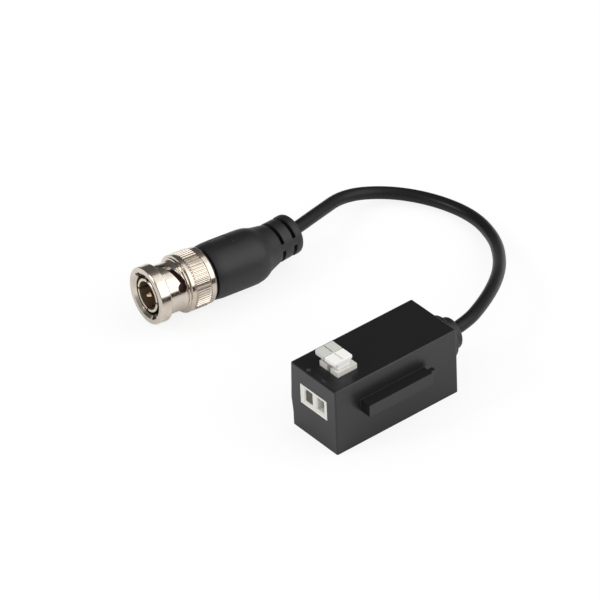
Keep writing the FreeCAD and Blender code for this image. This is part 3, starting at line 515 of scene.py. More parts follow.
def round_normals(mesh: bpy.types.Mesh, flat: float = 0.03) -> None:
    """Gives faces that were turned about the Y axis the normals of the true round surface.

    Args:
        mesh: Mesh drawn about the Y axis.
        flat: Sideways share of a normal from which a face counts as the flat wall of a cut.
    """
    normals = []
    for face in mesh.polygons:
        face.use_smooth = True
        middle = Vector((face.center.x, 0.0, face.center.z)).normalized()
        outward = face.normal.dot(middle)
        along = face.normal.y
        sideways = (face.normal - middle * outward - Vector((0.0, along, 0.0))).length
        for corner in face.loop_indices:
            spot = mesh.vertices[mesh.loops[corner].vertex_index].co
            away = Vector((spot.x, 0.0, spot.z))
            if sideways > flat or away.length < TINY:
                normals.append(face.normal.copy())
            else:
                normals.append((away.normalized() * outward + Vector((0.0, along, 0.0))).normalized())
    mesh.normals_split_custom_set(normals)


def block(low: Triple, high: Triple) -> bpy.types.Mesh:
    """Box mesh between two corners.

    Args:
        low: Lowest corner, in millimetres.
        high: Highest corner.

    Returns:
        A closed mesh in metres.
    """
    shape = bmesh.new()
    bmesh.ops.create_cube(shape, size=1.0)
    for vert in shape.verts:
        vert.co = Vector([(low[i] + high[i]) / 2 + vert.co[i] * (high[i] - low[i]) for i in range(3)]) * MM
    return finished(shape, "block")


def drill(angle: float, station: float, radius: float, inner: float, outer: float) -> bpy.types.Mesh:
    """Round cutter that points away from the Y axis.

    Args:
        angle: Angle about the Y axis, in degrees.
        station: Place of its middle along the Y axis, in millimetres.
        radius: Radius of the cutter.
        inner: Distance from the axis at which it starts.
        outer: Distance at which it ends.

    Returns:
        A closed mesh in metres.
    """
    shape = bmesh.new()
    bmesh.ops.create_cone(shape, cap_ends=True, segments=64, radius1=radius * MM, radius2=radius * MM,
                          depth=(outer - inner) * MM)
    aim = Matrix.Rotation(-math.radians(angle), 4, "Y") @ Matrix.Rotation(math.pi / 2, 4, "Y")
    towards = Vector((math.cos(math.radians(angle)), 0.0, math.sin(math.radians(angle))))
    place = Matrix.Translation(towards * (inner + outer) / 2 * MM + Vector((0.0, station * MM, 0.0)))
    shape.transform(place @ aim)
    return finished(shape, "drill")


def loft(rings: list[list[Vector]], looped: bool = False) -> bpy.types.Mesh:
    """Closed skin through rings of equal count.

    Args:
        rings: Points of each ring, in metres.
        looped: Whether the last ring joins the first one, in place of a face over each end.

    Returns:
        A closed mesh in metres.
    """
    shape = bmesh.new()
    rows = [[shape.verts.new(spot) for spot in ring] for ring in rings]
    count = len(rows[0])
    for row, other in zip(rows, rows[1:] + rows[:1] if looped else rows[1:]):
        for k in range(count):
            shape.faces.new((row[k], row[(k + 1) % count], other[(k + 1) % count], other[k]))
    if not looped:
        shape.faces.new(rows[0])
        shape.faces.new(rows[-1])
    bmesh.ops.recalc_face_normals(shape, faces=shape.faces)
    return finished(shape, "loft")


def plate(corners: list[Triple], low: float, high: float, edge: float, rows: int = 4) -> bpy.types.Mesh:
    """Flat plate with rounded corners and edges.

    Args:
        corners: X, Y and rounding of each corner, anticlockwise.
        low: Level of the underside.
        high: Level of the top.
        edge: Radius of the edges.
        rows: Strips in each rounded edge.

    Returns:
        A closed mesh in metres.
    """
    outline = [Vector(point) for point in rounded(corners, steps=6)]
    count = len(outline)
    inward = []
    for i in range(count):
        before = (outline[i] - outline[i - 1]).normalized()
        after = (outline[(i + 1) % count] - outline[i]).normalized()
        heading = (before + after).normalized()
        inward.append(Vector((-heading.y, heading.x)) / max(heading.dot(before), 0.5))
    steps = [math.pi / 2 * k / rows for k in range(rows + 1)]
    levels = [(edge * (1 - math.sin(t)), low + edge * (1 - math.cos(t))) for t in steps]
    levels += [(edge * (1 - math.cos(t)), high - edge * (1 - math.sin(t))) for t in steps]
    rings = [[Vector((spot.x + side.x * inset, spot.y + side.y * inset, level)) * MM
              for spot, side in zip(outline, inward)] for inset, level in levels]
    return loft(rings)


def frame_at(origin: Triple, turn: Pair) -> Matrix:
    """Makes the matrix of a piece that is drawn about +Y.

    Args:
        origin: Its place, in millimetres.
        turn: Its turn about Z, made after its tilt about X, in degrees.

    Returns:
        The matrix, in metres.
    """
    return (Matrix.Translation(Vector(origin) * MM) @ Matrix.Rotation(math.radians(turn[0]), 4, "Z")
            @ Matrix.Rotation(math.radians(turn[1]), 4, "X"))


PLUG = frame_at(PLUG_ORIGIN, PLUG_TURN)
TAIL = PLUG @ frame_at((0.0, TAIL_PLACE, 0.0), TAIL_TURN)


@dataclass
class RingArray:
    """Geometry Nodes that repeat one mesh round an axis, used for knurl ribs and wire turns."""

    count: int
    start: float = 0.0
    axis: str = "Y"

    def tree(self) -> bpy.types.NodeTree:
        """Builds the node group with named inputs.

        Returns:
            The group, made on the first call.
        """
        known = bpy.data.node_groups.get("ring_array_" + self.axis)
        if known:
            return known
        tree = bpy.data.node_groups.new("ring_array_" + self.axis, "GeometryNodeTree")
        for name, kind in (("Geometry", "Geometry"), ("Count", "Int"), ("Start", "Float"),
                           ("Material", "Material")):
            tree.interface.new_socket(name, in_out="INPUT", socket_type="NodeSocket" + kind)
        tree.interface.new_socket("Geometry", in_out="OUTPUT", socket_type="NodeSocketGeometry")
        given = add_node(tree, "NodeGroupInput")
        points = add_node(tree, "GeometryNodePoints", links={"Count": given.outputs["Count"]})
        index = add_node(tree, "GeometryNodeInputIndex")
        step = add_node(tree, "ShaderNodeMath", {"operation": "DIVIDE", 0: 2 * math.pi},
                        {1: given.outputs["Count"]})
        angle = add_node(tree, "ShaderNodeMath", {"operation": "MULTIPLY_ADD"},
                         {0: index.outputs[0], 1: step.outputs[0], 2: given.outputs["Start"]})
        turn = add_node(tree, "ShaderNodeCombineXYZ", links={self.axis: angle.outputs[0]})
        copies = add_node(tree, "GeometryNodeInstanceOnPoints",
                          links={"Points": points.outputs[0], "Instance": given.outputs["Geometry"],
                                 "Rotation": turn.outputs[0]})
        real = add_node(tree, "GeometryNodeRealizeInstances", links={0: copies.outputs[0]})
        dressed = add_node(tree, "GeometryNodeSetMaterial",
                           links={"Geometry": real.outputs[0], "Material": given.outputs["Material"]})
        add_node(tree, "NodeGroupOutput", links={0: dressed.outputs[0]})
        return tree

    def repeat(self, piece: bpy.types.Object, finish: Finish) -> bpy.types.Object:
        """Repeats the piece's mesh round the axis and leaves a plain mesh.

        Args:
            piece: Object whose mesh is one copy, at its place.
            finish: Finish of every copy.

        Returns:
            The same object with all copies.
        """
        modifier = piece.modifiers.new("ring", "NODES")
        modifier.node_group = self.tree()
        values = {"Count": self.count, "Start": math.radians(self.start), "Material": finish.material()}
        for item in modifier.node_group.interface.items_tree:
            if item.in_out == "INPUT" and item.name in values:
                modifier[item.identifier] = values[item.name]
        return bake(piece)


def steady_normals(mesh: bpy.types.Mesh, broad: float = 0.6, reach: float = 50.0) -> None:
    """Keeps broad faces flat to the eye and lets only the narrow strips between them turn.

    Args:
        mesh: Mesh with rounded edges.
        broad: Least area of a face that stays flat, in square millimetres.
        reach: Widest angle in degrees between faces that shade into each other.
    """
    least = broad * MM ** 2
    around: dict[int, list[int]] = {}
    for face in mesh.polygons:
        face.use_smooth = True
        for corner in face.vertices:
            around.setdefault(corner, []).append(face.index)
    limit = math.cos(math.radians(reach))
    normals = []
    for face in mesh.polygons:
        for corner in face.vertices:
            near = [mesh.polygons[i] for i in around[corner]
                    if mesh.polygons[i].normal.dot(face.normal) > limit]
            biggest = max(near, key=lambda other: other.area)
            if face.area >= least:
                normals.append(face.normal.copy())
            elif biggest.area >= least:
                normals.append(biggest.normal.copy())
            else:
                mixed = sum((other.normal * other.area for other in near), Vector())
                normals.append(mixed.normalized() if mixed.length > 0 else face.normal.copy())
    mesh.normals_split_custom_set(normals)


@dataclass
class SoftenedSolid:
    """Copy of a CAD node whose sharp edges get the small radius that a mould or a tumbler leaves."""

    node: str
    radius: float
    limit: float = 40.0
    segments: int = 3
    broad: float = 0.6
    # Distance in millimetres at which points merge, and angle in degrees under which faces join.
    merge: float = 0.0005
    flat: float = 0.1

    def build(self, nodes: dict[str, bpy.types.Object]) -> bpy.types.Object:
        """Merges the node's triangles and rounds the edges.

        Args:
            nodes: CAD nodes by name.

        Returns:
            The new piece.
        """
        shape = bmesh.new()
        shape.from_mesh(nodes[self.node].data)
        bmesh.ops.remove_doubles(shape, verts=shape.verts, dist=self.merge * MM)
        bmesh.ops.dissolve_limit(shape, angle_limit=math.radians(self.flat), verts=shape.verts,
                                 edges=shape.edges)
        piece = new_piece(self.node + "_soft", finished(shape, self.node + "_soft"))
        bevel = piece.modifiers.new("edge", "BEVEL")
        bevel.width = self.radius * MM
        bevel.segments = self.segments
        bevel.limit_method = "ANGLE"
        bevel.angle_limit = math.radians(self.limit)
        bake(piece)
        steady_normals(piece.data, self.broad)
        return piece


@dataclass
class Box:
    """Moulded box with its cover, and the board and parts that it hides."""

    nodes: dict[str, bpy.types.Object]
    edge: float = 0.12
    turn_wire: float = 0.22
    turn_inner: float = 1.6
    turn_outer: float = 4.0
    turn_low: float = 5.48
    turn_high: float = 9.12
    turn_corner: float = 0.5
    turn_place: float = 0.5
    turn_sides: int = 8
    turns: int = 12
    top: float = 17.8
    mark_depths: Pair = (0.14, 0.05)
    mark_size: float = 1.26
    mark_line: float = 0.27
    mark_pitch: float = 5.4
    mark_row: float = -16.9
    plain: dict[str, Finish] = field(default_factory=lambda: {
        "choke_core": FERRITE, "chip_parts": CHIP, "surge_arrester": CERAMIC,
        "core_lead": ENAMEL_WIRE, "braid_lead": ENAMEL_WIRE, "circuit_board": BOARD,
    })

    def shell(self) -> None:
        """Box and cover with softened edges."""
        for node in ("housing", "base_cover"):
            piece = SoftenedSolid(node, self.edge).build(self.nodes)
            settle(piece, Body.BALUN, HOUSING, "housing_black", node)

    def marks(self) -> None:
        """Ink in the sunk plus and minus marks of the poles."""
        long, thin = self.mark_size / 2, self.mark_line / 2
        y = self.mark_row
        low, high = (self.top - depth for depth in self.mark_depths)
        for name, x, arms in (("mark_plus", -self.mark_pitch / 2, ((long, thin), (thin, long))),
                              ("mark_minus", self.mark_pitch / 2, ((long, thin),))):
            bars = [block((x - across, y - along, low), (x + across, y + along, high))
                    for across, along in arms]
            piece = new_piece(name, bars[0])
            cut(piece, bars[1:], "UNION")
            settle(piece, Body.BALUN, INLAY, "housing_black")

    def winding(self) -> None:
        """Round wire turns through the ferrite ring."""
        inner, outer, low, high = self.turn_inner, self.turn_outer, self.turn_low, self.turn_high
        corners = [(across, level, self.turn_corner)
                   for across, level in ((inner, low), (outer, low), (outer, high), (inner, high))]
        spots = [Vector((across, 0.0, level)) for across, level in rounded(corners)]
        centre = Vector(((inner + outer) / 2, 0.0, (low + high) / 2))
        sideways = Vector((0.0, 1.0, 0.0))
        rings = []
        for i, spot in enumerate(spots):
            heading = (spots[(i + 1) % len(spots)] - spots[i - 1]).normalized()
            outward = heading.cross(sideways)
            if outward.dot(spot - centre) < 0:
                outward.negate()
            angles = (2 * math.pi * k / self.turn_sides for k in range(self.turn_sides))
            rings.append([(spot + (outward * math.cos(a) + sideways * math.sin(a)) * self.turn_wire) * MM
                          for a in angles])
        mesh = loft(rings, looped=True)
        for face in mesh.polygons:
            face.use_smooth = True
        piece = RingArray(self.turns, axis="Z").repeat(new_piece("choke_turns", mesh), ENAMEL_WIRE)
        piece.data.transform(Matrix.Translation((0.0, self.turn_place * MM, 0.0)))
        settle(piece, Body.BALUN, ENAMEL_WIRE, "copper_wire", "choke_winding")

    def build(self) -> None:
        """Makes every piece of the box."""
        self.shell()
        self.marks()
        self.winding()
        dress(self.nodes, self.plain)


@dataclass
class WireTerminal:
    """Nylon terminal with two entries, its push levers, springs and contacts."""

    nodes: dict[str, bpy.types.Object]
    body_edge: float = 0.14
    lever_edge: float = 0.18
    lever_middle: float = -0.04
    lever_pitch: float = 3.7
    lever_width: float = 3.5
    lever_run: Pair = (-14.45, -9.0)
    lever_rise: Pair = (20.7, 21.7)
    stem_middle: float = 0.53
    stem_pitch: float = 3.72
    stem_width: float = 1.55
    stem_run: Pair = (-13.05, -9.55)
    stem_end: float = 14.2
    stem_overlap: float = 0.5
    groove_width: float = 0.4
    groove_depth: float = 0.35
    groove_margins: Pair = (0.35, 0.15)
    groove_clear: float = 1.0
    corner: float = 0.9
    small_corner: float = 0.3
    spring_foot: float = 9.15
    press: float = 1.55
    entry: Triple = (-1.9, -17.95, 10.85)
    leaf: Triple = (2.3, 0.15, 3.2)
    leaf_corners: Pair = (0.05, 1.05)
    leaf_depth: float = 0.3

    def spring_leaf(self) -> bpy.types.Object:
        """Round-topped leaf that closes the left entry behind its mouth.

        Returns:
            The new piece.
        """
        half, thick, tall = self.leaf[0] / 2, self.leaf[1], self.leaf[2]
        foot, crown = self.leaf_corners
        outline = rounded([(-half, 0.0, foot), (half, 0.0, foot), (half, tall, crown),
                           (-half, tall, crown)], steps=8)
        middle, face, level = self.entry
        rings = [[Vector((middle + across, face + self.leaf_depth + step, level - tall / 2 + rise)) * MM
                  for across, rise in outline] for step in (thick, 0.0)]
        return new_piece("spring_leaf_left", loft(rings))

    def lever(self, name: str, side: int) -> bpy.types.Object:
        """Lever of one pole: finger plate with a groove, on its stem.

        Args:
            name: Name of the piece.
            side: -1 for the left pole and 1 for the right one.

        Returns:
            The new piece.
        """
        middle = self.lever_middle + side * self.lever_pitch / 2
        reach = side * self.lever_width / 2
        front, back = self.lever_run
        under, top = self.lever_rise
        corners = [(middle + reach, front, self.corner), (middle - reach, front, self.small_corner),
                   (middle - reach, back, self.small_corner), (middle + reach, back, self.small_corner)]
        if side > 0:
            corners.reverse()
        piece = new_piece(name, plate(corners, under, top, self.lever_edge))
        stem = self.stem_middle + side * self.stem_pitch / 2
        cut(piece, [block((stem - self.stem_width / 2, self.stem_run[0], self.stem_end),
                          (stem + self.stem_width / 2, self.stem_run[1], under + self.stem_overlap))],
            "UNION")
        across = (front + back) / 2
        half, (left, right) = self.groove_width / 2, self.groove_margins
        cut(piece, [block((middle - self.lever_width / 2 + left, across - half, top - self.groove_depth),
                          (middle + self.lever_width / 2 - right, across + half, top + self.groove_clear))])
        steady_normals(piece.data)
        return piece

    def build(self) -> None:
        """Makes every piece of the terminal."""
        body = SoftenedSolid("terminal_body", self.body_edge).build(self.nodes)
        settle(body, Body.BALUN, NYLON, "terminal_nylon", "terminal_body")
        # The left lever's pale grey is painted shade on the white plastic.
        settle(self.lever("lever_left_moulded", -1), Body.LEVER_LEFT, LEVER_PAINTED_SHADE, "lever_grey",
               "push_lever_left")
        settle(self.lever("lever_right_moulded", 1), Body.LEVER_RIGHT, LEVER_WHITE, "lever_white",
               "push_lever_right")
        for side in ("left", "right"):
            dress(self.nodes, {"clamp_spring_" + side: STEEL, "contact_pin_" + side: TIN})
            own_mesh(self.nodes["clamp_spring_" + side])
        # The leaf's dark olive colour is painted shade in the left entry.
        settle(self.spring_leaf(), Body.BALUN, LEAF_PAINTED_SHADE, "spring_steel")


@dataclass
class CouplingNut:
    """Bayonet nut: rim, waist with two curved slots, flared bead, straight knurl and rear ring."""

    rim: float = 7.15
    neck: float = 6.1
    body: float = 7.2
    root: float = 6.92
    bore: float = 4.95
    mouth: float = 5.75
    lead_in: float = 0.6
    rear_bore: float = 6.0
    land: float = 4.5
    knurl: Pair = (10.02, 13.92)
    ribs: int = 56
    rib_phase: float = 1.9
    rib_foot: float = 0.6
    rib_crest: float = 0.3
    rib_ramp: float = 0.16
    rib_sink: float = 0.15
    rib_proud: float = 0.02
    cutter: Pair = (4.5, 7.9)
    slot_width: float = 1.25
    slot_steps: int = 5
    slot_route: tuple[Pair, ...] = ((108.0, 4.2), (99.0, 4.95), (90.0, 5.5), (78.0, 6.0), (67.0, 6.38),
                                    (58.0, 6.68), (50.0, 6.95), (43.0, 7.17), (36.0, 7.3), (30.0, 7.2))
    key_angle: float = 128.0
    key_width: float = 2.3
    key_radius: float = 5.85
    key_run: Pair = (-1.0, 3.2)
    key_lead: float = 2.6
    key_ramp: Pair = (118.0, 3.4)
    detent: Triple = (27.0, 6.95, 1.15)
    detent_step: Pair = (0.22, 0.14)

    def outline(self) -> list[Pair]:
        """Cross-section of the nut, as radius and station.

        Returns:
            The closed outline.
        """
        return rounded([
            (self.mouth, 0.0, 0.12), (self.rim, 0.0, 0.42), (self.rim, 2.95, 0.4), (6.62, 3.12, 0.12),
            # Neck, and the fine rings between it and the bead.
            (self.neck, 3.3, 0.2), (self.neck, 7.35, 0.2), (6.38, 7.55, 0.1), (6.38, 7.85, 0.05),
            (6.3, 7.9, 0.03), (6.3, 7.98, 0.03), (6.75, 8.12, 0.1), (6.75, 8.38, 0.05),
            (6.66, 8.44, 0.03), (6.66, 8.52, 0.03),
            # Bead, root of the knurl and rear ring.
            (self.body, 8.72, 0.12), (self.body, 9.6, 0.15), (6.82, 9.72, 0.04), (6.82, 9.9, 0.04),
            (self.root, 9.95, 0.02), (self.root, 14.02, 0.03), (6.82, 14.06, 0.03), (6.82, 14.12, 0.03),
            (7.05, 14.16, 0.06), (7.05, 15.35, 0.15), (6.75, 15.8, 0.12), (self.rear_bore, 15.8, 0.1),
            # Rear bore, land of the plug's flange and the bore that takes the jack.
            (self.rear_bore, 9.9, 0.0), (self.land, 9.9, 0.05), (self.land, 8.9, 0.05),
            (self.bore, 8.9, 0.0), (self.bore, self.lead_in, 0.1),
        ])

    def ribbon(self, route: tuple[Pair, ...], inner: float, outer: float) -> bpy.types.Mesh:
        """Curved cutter whose middle follows a route on the neck.

        Args:
            route: Angle in degrees and station of each point.
            inner: Radius at which the cutter starts.
            outer: Radius at which it ends.

        Returns:
            A closed mesh in metres.
        """
        rings = []
        for i, (angle, station) in enumerate(route):
            before = route[max(i - 1, 0)]
            after = route[min(i + 1, len(route) - 1)]
            run = math.radians(after[0] - before[0]) * self.neck
            rise = after[1] - before[1]
            span = math.hypot(run, rise)
            turn = -rise / span * self.slot_width / 2 / self.neck
            lift = run / span * self.slot_width / 2
            ring = []
            for side, radius in ((1, inner), (1, outer), (-1, outer), (-1, inner)):
                a = math.radians(angle) + side * turn
                spot = Vector((radius * math.cos(a), station + side * lift, radius * math.sin(a)))
                ring.append(spot * MM)
            rings.append(ring)
        return loft(rings)

    def fine_route(self) -> tuple[Pair, ...]:
        """Slot route with extra points between its own, on a smooth curve.

        Returns:
            Angle in degrees and station of each point.
        """
        points = self.slot_route
        fine: list[Pair] = []
        for i in range(len(points) - 1):
            p0, p1 = points[max(i - 1, 0)], points[i]
            p2, p3 = points[i + 1], points[min(i + 2, len(points) - 1)]
            for step in range(self.slot_steps):
                t = step / self.slot_steps
                fine.append(tuple(
                    (2 * b + (c - a) * t + (2 * a - 5 * b + 4 * c - d) * t ** 2
                     + (3 * b - a - 3 * c + d) * t ** 3) / 2 for a, b, c, d in zip(p0, p1, p2, p3)))
        fine.append(points[-1])
        return tuple(fine)

    def cutters(self) -> list[bpy.types.Mesh]:
        """Both slots with their detents, and the keyways that lead into them.

        Returns:
            Closed meshes in metres.
        """
        start = self.slot_route[0]
        angle, station, radius = self.detent
        wider, sunk = self.detent_step
        meshes = []
        for half in (0.0, 180.0):
            tools = [self.ribbon(self.fine_route(), *self.cutter),
                     drill(*start, self.slot_width / 2, *self.cutter),
                     drill(*self.detent, *self.cutter),
                     drill(angle, station, radius + wider, self.neck - sunk, self.cutter[1]),
                     self.ribbon(((self.key_angle, self.key_lead), self.key_ramp, start),
                                 self.cutter[0], self.key_radius)]
            key = block((self.cutter[0], self.key_run[0], -self.key_width / 2),
                        (self.key_radius, self.key_run[1], self.key_width / 2))
            key.transform(Matrix.Rotation(-math.radians(self.key_angle), 4, "Y"))
            tools.append(key)
            for tool in tools:
                tool.transform(Matrix.Rotation(math.radians(half), 4, "Y"))
            meshes += tools
        return meshes

    def rib(self) -> bpy.types.Mesh:
        """One straight rib of the knurl, with a narrow crest and sloping ends.

        Returns:
            A closed mesh in metres.
        """
        low, foot, crest = self.root - self.rib_sink, self.rib_foot / 2, self.rib_crest / 2
        start, end = self.knurl
        rows = []
        for station, top in ((start, self.root - self.rib_proud), (start + self.rib_ramp, self.body),
                             (end - self.rib_ramp, self.body), (end, self.root - self.rib_proud)):
            rows.append([Vector((x, station, z)) * MM for x, z in (
                (low, -foot), (self.root, -foot), (top, -crest), (top + self.rib_proud, 0.0),
                (top, crest), (self.root, foot), (low, foot))])
        return loft(rows)

    def build(self) -> bpy.types.Object:
        """Makes the nut and its knurl.

        Returns:
            The nut, without its knurl.
        """
        nut = new_piece("nut_turned", turned(self.outline()))
        cut(nut, self.cutters())
        round_normals(nut.data)
        nut.data.transform(PLUG)
        settle(nut, Body.NUT, NICKEL, "nickel", "coupling_nut")
        ribs = RingArray(self.ribs, self.rib_phase).repeat(new_piece("nut_knurl", self.rib()), NICKEL)
        ribs.data.transform(PLUG)
        settle(ribs, Body.NUT, NICKEL, "nickel")
        return nut


@dataclass
class PlugCore:
    """Slotted contact, pin, insulator, gasket and the turned parts behind them."""

    nodes: dict[str, bpy.types.Object]
    slit: float = 0.5
    slit_run: Pair = (-0.05, 5.95)
    slit_reach: Pair = (2.35, 4.85)
    # Radius, station and rounding of each corner.
    tube: tuple[Triple, ...] = (
        (3.55, 0.45, 0.12), (4.25, 0.45, 0.2), (4.25, 8.3, 0.05), (3.9, 8.3, 0.0), (3.9, 10.5, 0.0),
        (3.3, 10.5, 0.0), (3.3, 8.6, 0.0), (3.55, 8.6, 0.0),
    )
    pin: tuple[Triple, ...] = (
        (0.0, 0.45, 0.0), (0.24, 0.45, 0.08), (0.68, 1.2, 0.3), (0.68, 18.0, 0.0), (0.0, 18.0, 0.0),
    )
    gasket: tuple[Triple, ...] = (
        (4.28, 5.8, 0.1), (4.87, 5.8, 0.18), (4.87, 8.27, 0.1), (4.28, 8.27, 0.05),
    )
    plain: dict[str, Finish] = field(default_factory=lambda: {
        "insulator": PTFE, "plug_body": NICKEL, "retaining_ring": STEEL, "spring_washer": STEEL,
        "crimp_ferrule": NICKEL,
    })

    def slits(self) -> list[bpy.types.Mesh]:
        """Four flat cutters that slit the contact into fingers.

        Returns:
            Closed meshes in metres.
        """
        meshes = []
        for angle in (0.0, 90.0, 180.0, 270.0):
            slit = block((self.slit_reach[0], self.slit_run[0], -self.slit / 2),
                         (self.slit_reach[1], self.slit_run[1], self.slit / 2))
            slit.transform(Matrix.Rotation(math.radians(angle), 4, "Y"))
            meshes.append(slit)
        return meshes

    def turned_piece(self, name: str, corners: tuple[Triple, ...], finish: Finish, slot: str, node: str,
                     cutters: list[bpy.types.Mesh] | None = None) -> bpy.types.Object:
        """Turns an outline, cuts it and puts it on the plug's axis.

        Args:
            name: Name of the piece.
            corners: Radius, station and rounding of each corner of the outline.
            finish: Finish of its surface.
            slot: Material slot of the record.
            node: CAD node that it stands for.
            cutters: Meshes that are taken away from it.

        Returns:
            The new piece.
        """
        piece = new_piece(name, turned(rounded(corners), steps=128))
        cut(piece, cutters or [])
        round_normals(piece.data)
        piece.data.transform(PLUG)
        return settle(piece, Body.BALUN, finish, slot, node)

    def build(self) -> list[bpy.types.Object]:
        """Makes the pieces that show and dresses the hidden ones.

        Returns:
            All of them, the new ones first.
        """
        made = [self.turned_piece("contact_tube", self.tube, CONTACT, "nickel_dull", "outer_contact",
                                  self.slits()),
                self.turned_piece("pin_turned", self.pin, GOLD, "gold_pin", "centre_pin"),
                # The gasket's red is its own; its darkness is painted shade in the slots.
                self.turned_piece("gasket_ring", self.gasket, SILICONE, "gasket_red", "gasket")]
        dress(self.nodes, self.plain)
        return made + [self.nodes[node] for node in self.plain]


@dataclass
class Boot:
    """Soft boot with a bent tail that is slotted to flex."""

    front: float = 16.4
    # Radius of the front lip, and how far behind the front.
    lip: tuple[Pair, ...] = ((2.93, 2.0), (2.93, 0.0), (6.45, 0.0), (6.66, 0.09), (6.75, 0.3), (6.88, 1.2),
                             (6.97, 2.0))
    radius: float = 7.0
    bend_radius: float = 6.97
    bend_gap: float = 0.6
    ball_radius: float = 6.95
    ball_stations: tuple[float, ...] = (1.0, 1.8, 2.6, 3.4, 4.4, 5.6, 6.6)
    cone_start: float = 6.8
    cone_length: float = 7.4
    # Radius of the cone at each flex slot.
    cone_ends: Pair = (5.05, 5.0)
    slot: float = 0.9
    slot_wall: float = 0.05
    ring: float = 2.7
    core: float = 3.9
    web_angle: float = 15.0
    web_span: float = 22.0
    tail_length: float = 14.2
    tail_radius: float = 5.1
    tail_run: Pair = (0.5, 1.0)
    tail_round: float = 0.9
    tail_rows: int = 5
    # Radius of the tail's mouth, and how far inside its end.
    mouth: tuple[Pair, ...] = ((2.1, 0.0), (1.75, 0.3), (1.65, 1.5))
    panel_end: float = 24.1
    panel_length: float = 4.6
    panel_wall: float = 0.08
    panel_rows: int = 6
    panel_depth: float = 0.14
    panel_angle: float = 99.0
    panel_span: float = 46.0
    crease: float = 32.0
    steps: int = 240

    def front_part(self) -> list[Pair]:
        """Radius and station of the rings on the plug's axis.

        Returns:
            One pair for each ring.
        """
        start, end, wall = self.panel_end - self.panel_length, self.panel_end, self.panel_wall
        row = (self.panel_length - 2 * wall) / self.panel_rows
        stations = [start - wall, start + wall]
        stations += [start + wall + row * k for k in range(1, self.panel_rows + 1)]
        stations += [end + wall, TAIL_PLACE - self.bend_gap]
        return ([(radius, self.front + behind) for radius, behind in self.lip]
                + [(self.radius, station) for station in stations])

    def tail_part(self) -> list[Pair]:
        """Radius and station of the rings on the tail's axis.

        Returns:
            One pair for each ring.
        """
        slope = (self.cone_ends[0] - self.cone_start) / self.cone_length
        points = [(max(math.sqrt(self.ball_radius ** 2 - station ** 2), self.cone_start + slope * station),
                   station) for station in self.ball_stations]
        wall = self.slot_wall
        second = self.cone_length + self.slot + self.ring
        for start, radius in zip((self.cone_length, second), self.cone_ends):
            points += [(radius, start + step) for step in (-wall, wall, self.slot - wall, self.slot + wall)]
        points += [(self.tail_radius, second + self.slot + self.tail_run[0]),
                   (self.tail_radius, self.tail_length - self.tail_run[1])]
        for step in range(1, self.tail_rows + 1):
            turn = math.pi / 2 * step / self.tail_rows
            points.append((self.tail_radius - self.tail_round * (1 - math.cos(turn)),
                           self.tail_length - self.tail_round * (1 - math.sin(turn))))
        return points + [(radius, self.tail_length - inside) for radius, inside in self.mouth]

    def panel_radius(self, angle: float, radius: float, station: float) -> float:
        """Lowers the skin at the shallow panel.

        Args:
            angle: Angle round the plug's axis, in radians.
            radius: Radius without the panel.
            station: Place along the axis.

        Returns:
            The radius there.
        """
        along = self.panel_end - self.panel_length < station < self.panel_end
        around = abs(math.degrees(angle) - self.panel_angle) < self.panel_span / 2
        return radius - self.panel_depth if along and around else radius

    def slot_radius(self, angle: float, radius: float, station: float) -> float:
        """Lowers the skin to the core in a flex slot, except at its two webs.

        Args:
            angle: Angle round the tail's axis, in radians.
            radius: Radius without the slots.
            station: Place along the axis.

        Returns:
            The radius there.
        """
        for start in (self.cone_length, self.cone_length + self.slot + self.ring):
            if start < station < start + self.slot:
                turn = (math.degrees(angle) - self.web_angle) % 180.0
                if self.web_span / 2 < turn < 180.0 - self.web_span / 2:
                    return self.core
        return radius

    def rings(self) -> list[list[Vector]]:
        """Rings of the skin from the inside of the front to the inside of the tail's end.

        Returns:
            Points of each ring, in metres.
        """
        angles = [2 * math.pi * k / self.steps for k in range(self.steps)]

        def ring(matrix: Matrix, radii: list[float], station: float) -> list[Vector]:
            """One ring on an axis."""
            return [matrix @ (Vector((r * math.cos(a), station, r * math.sin(a))) * MM)
                    for r, a in zip(radii, angles)]

        made = [ring(PLUG, [self.panel_radius(a, radius, station) for a in angles], station)
                for radius, station in self.front_part()]
        half_way = PLUG @ frame_at((0.0, TAIL_PLACE, 0.0), (TAIL_TURN[0] / 2, TAIL_TURN[1] / 2))
        made.append(ring(half_way, [self.bend_radius] * self.steps, 0.0))
        made += [ring(TAIL, [self.slot_radius(a, radius, station) for a in angles], station)
                 for radius, station in self.tail_part()]
        return made

    def build(self) -> bpy.types.Object:
        """Makes the boot.

        Returns:
            The new piece.
        """
        piece = new_piece("boot_moulded", loft(self.rings()))
        for face in piece.data.polygons:
            face.use_smooth = True
        piece.data.set_sharp_from_angle(angle=math.radians(self.crease))
        return settle(piece, Body.BALUN, BOOT_PVC, "soft_black", "boot")


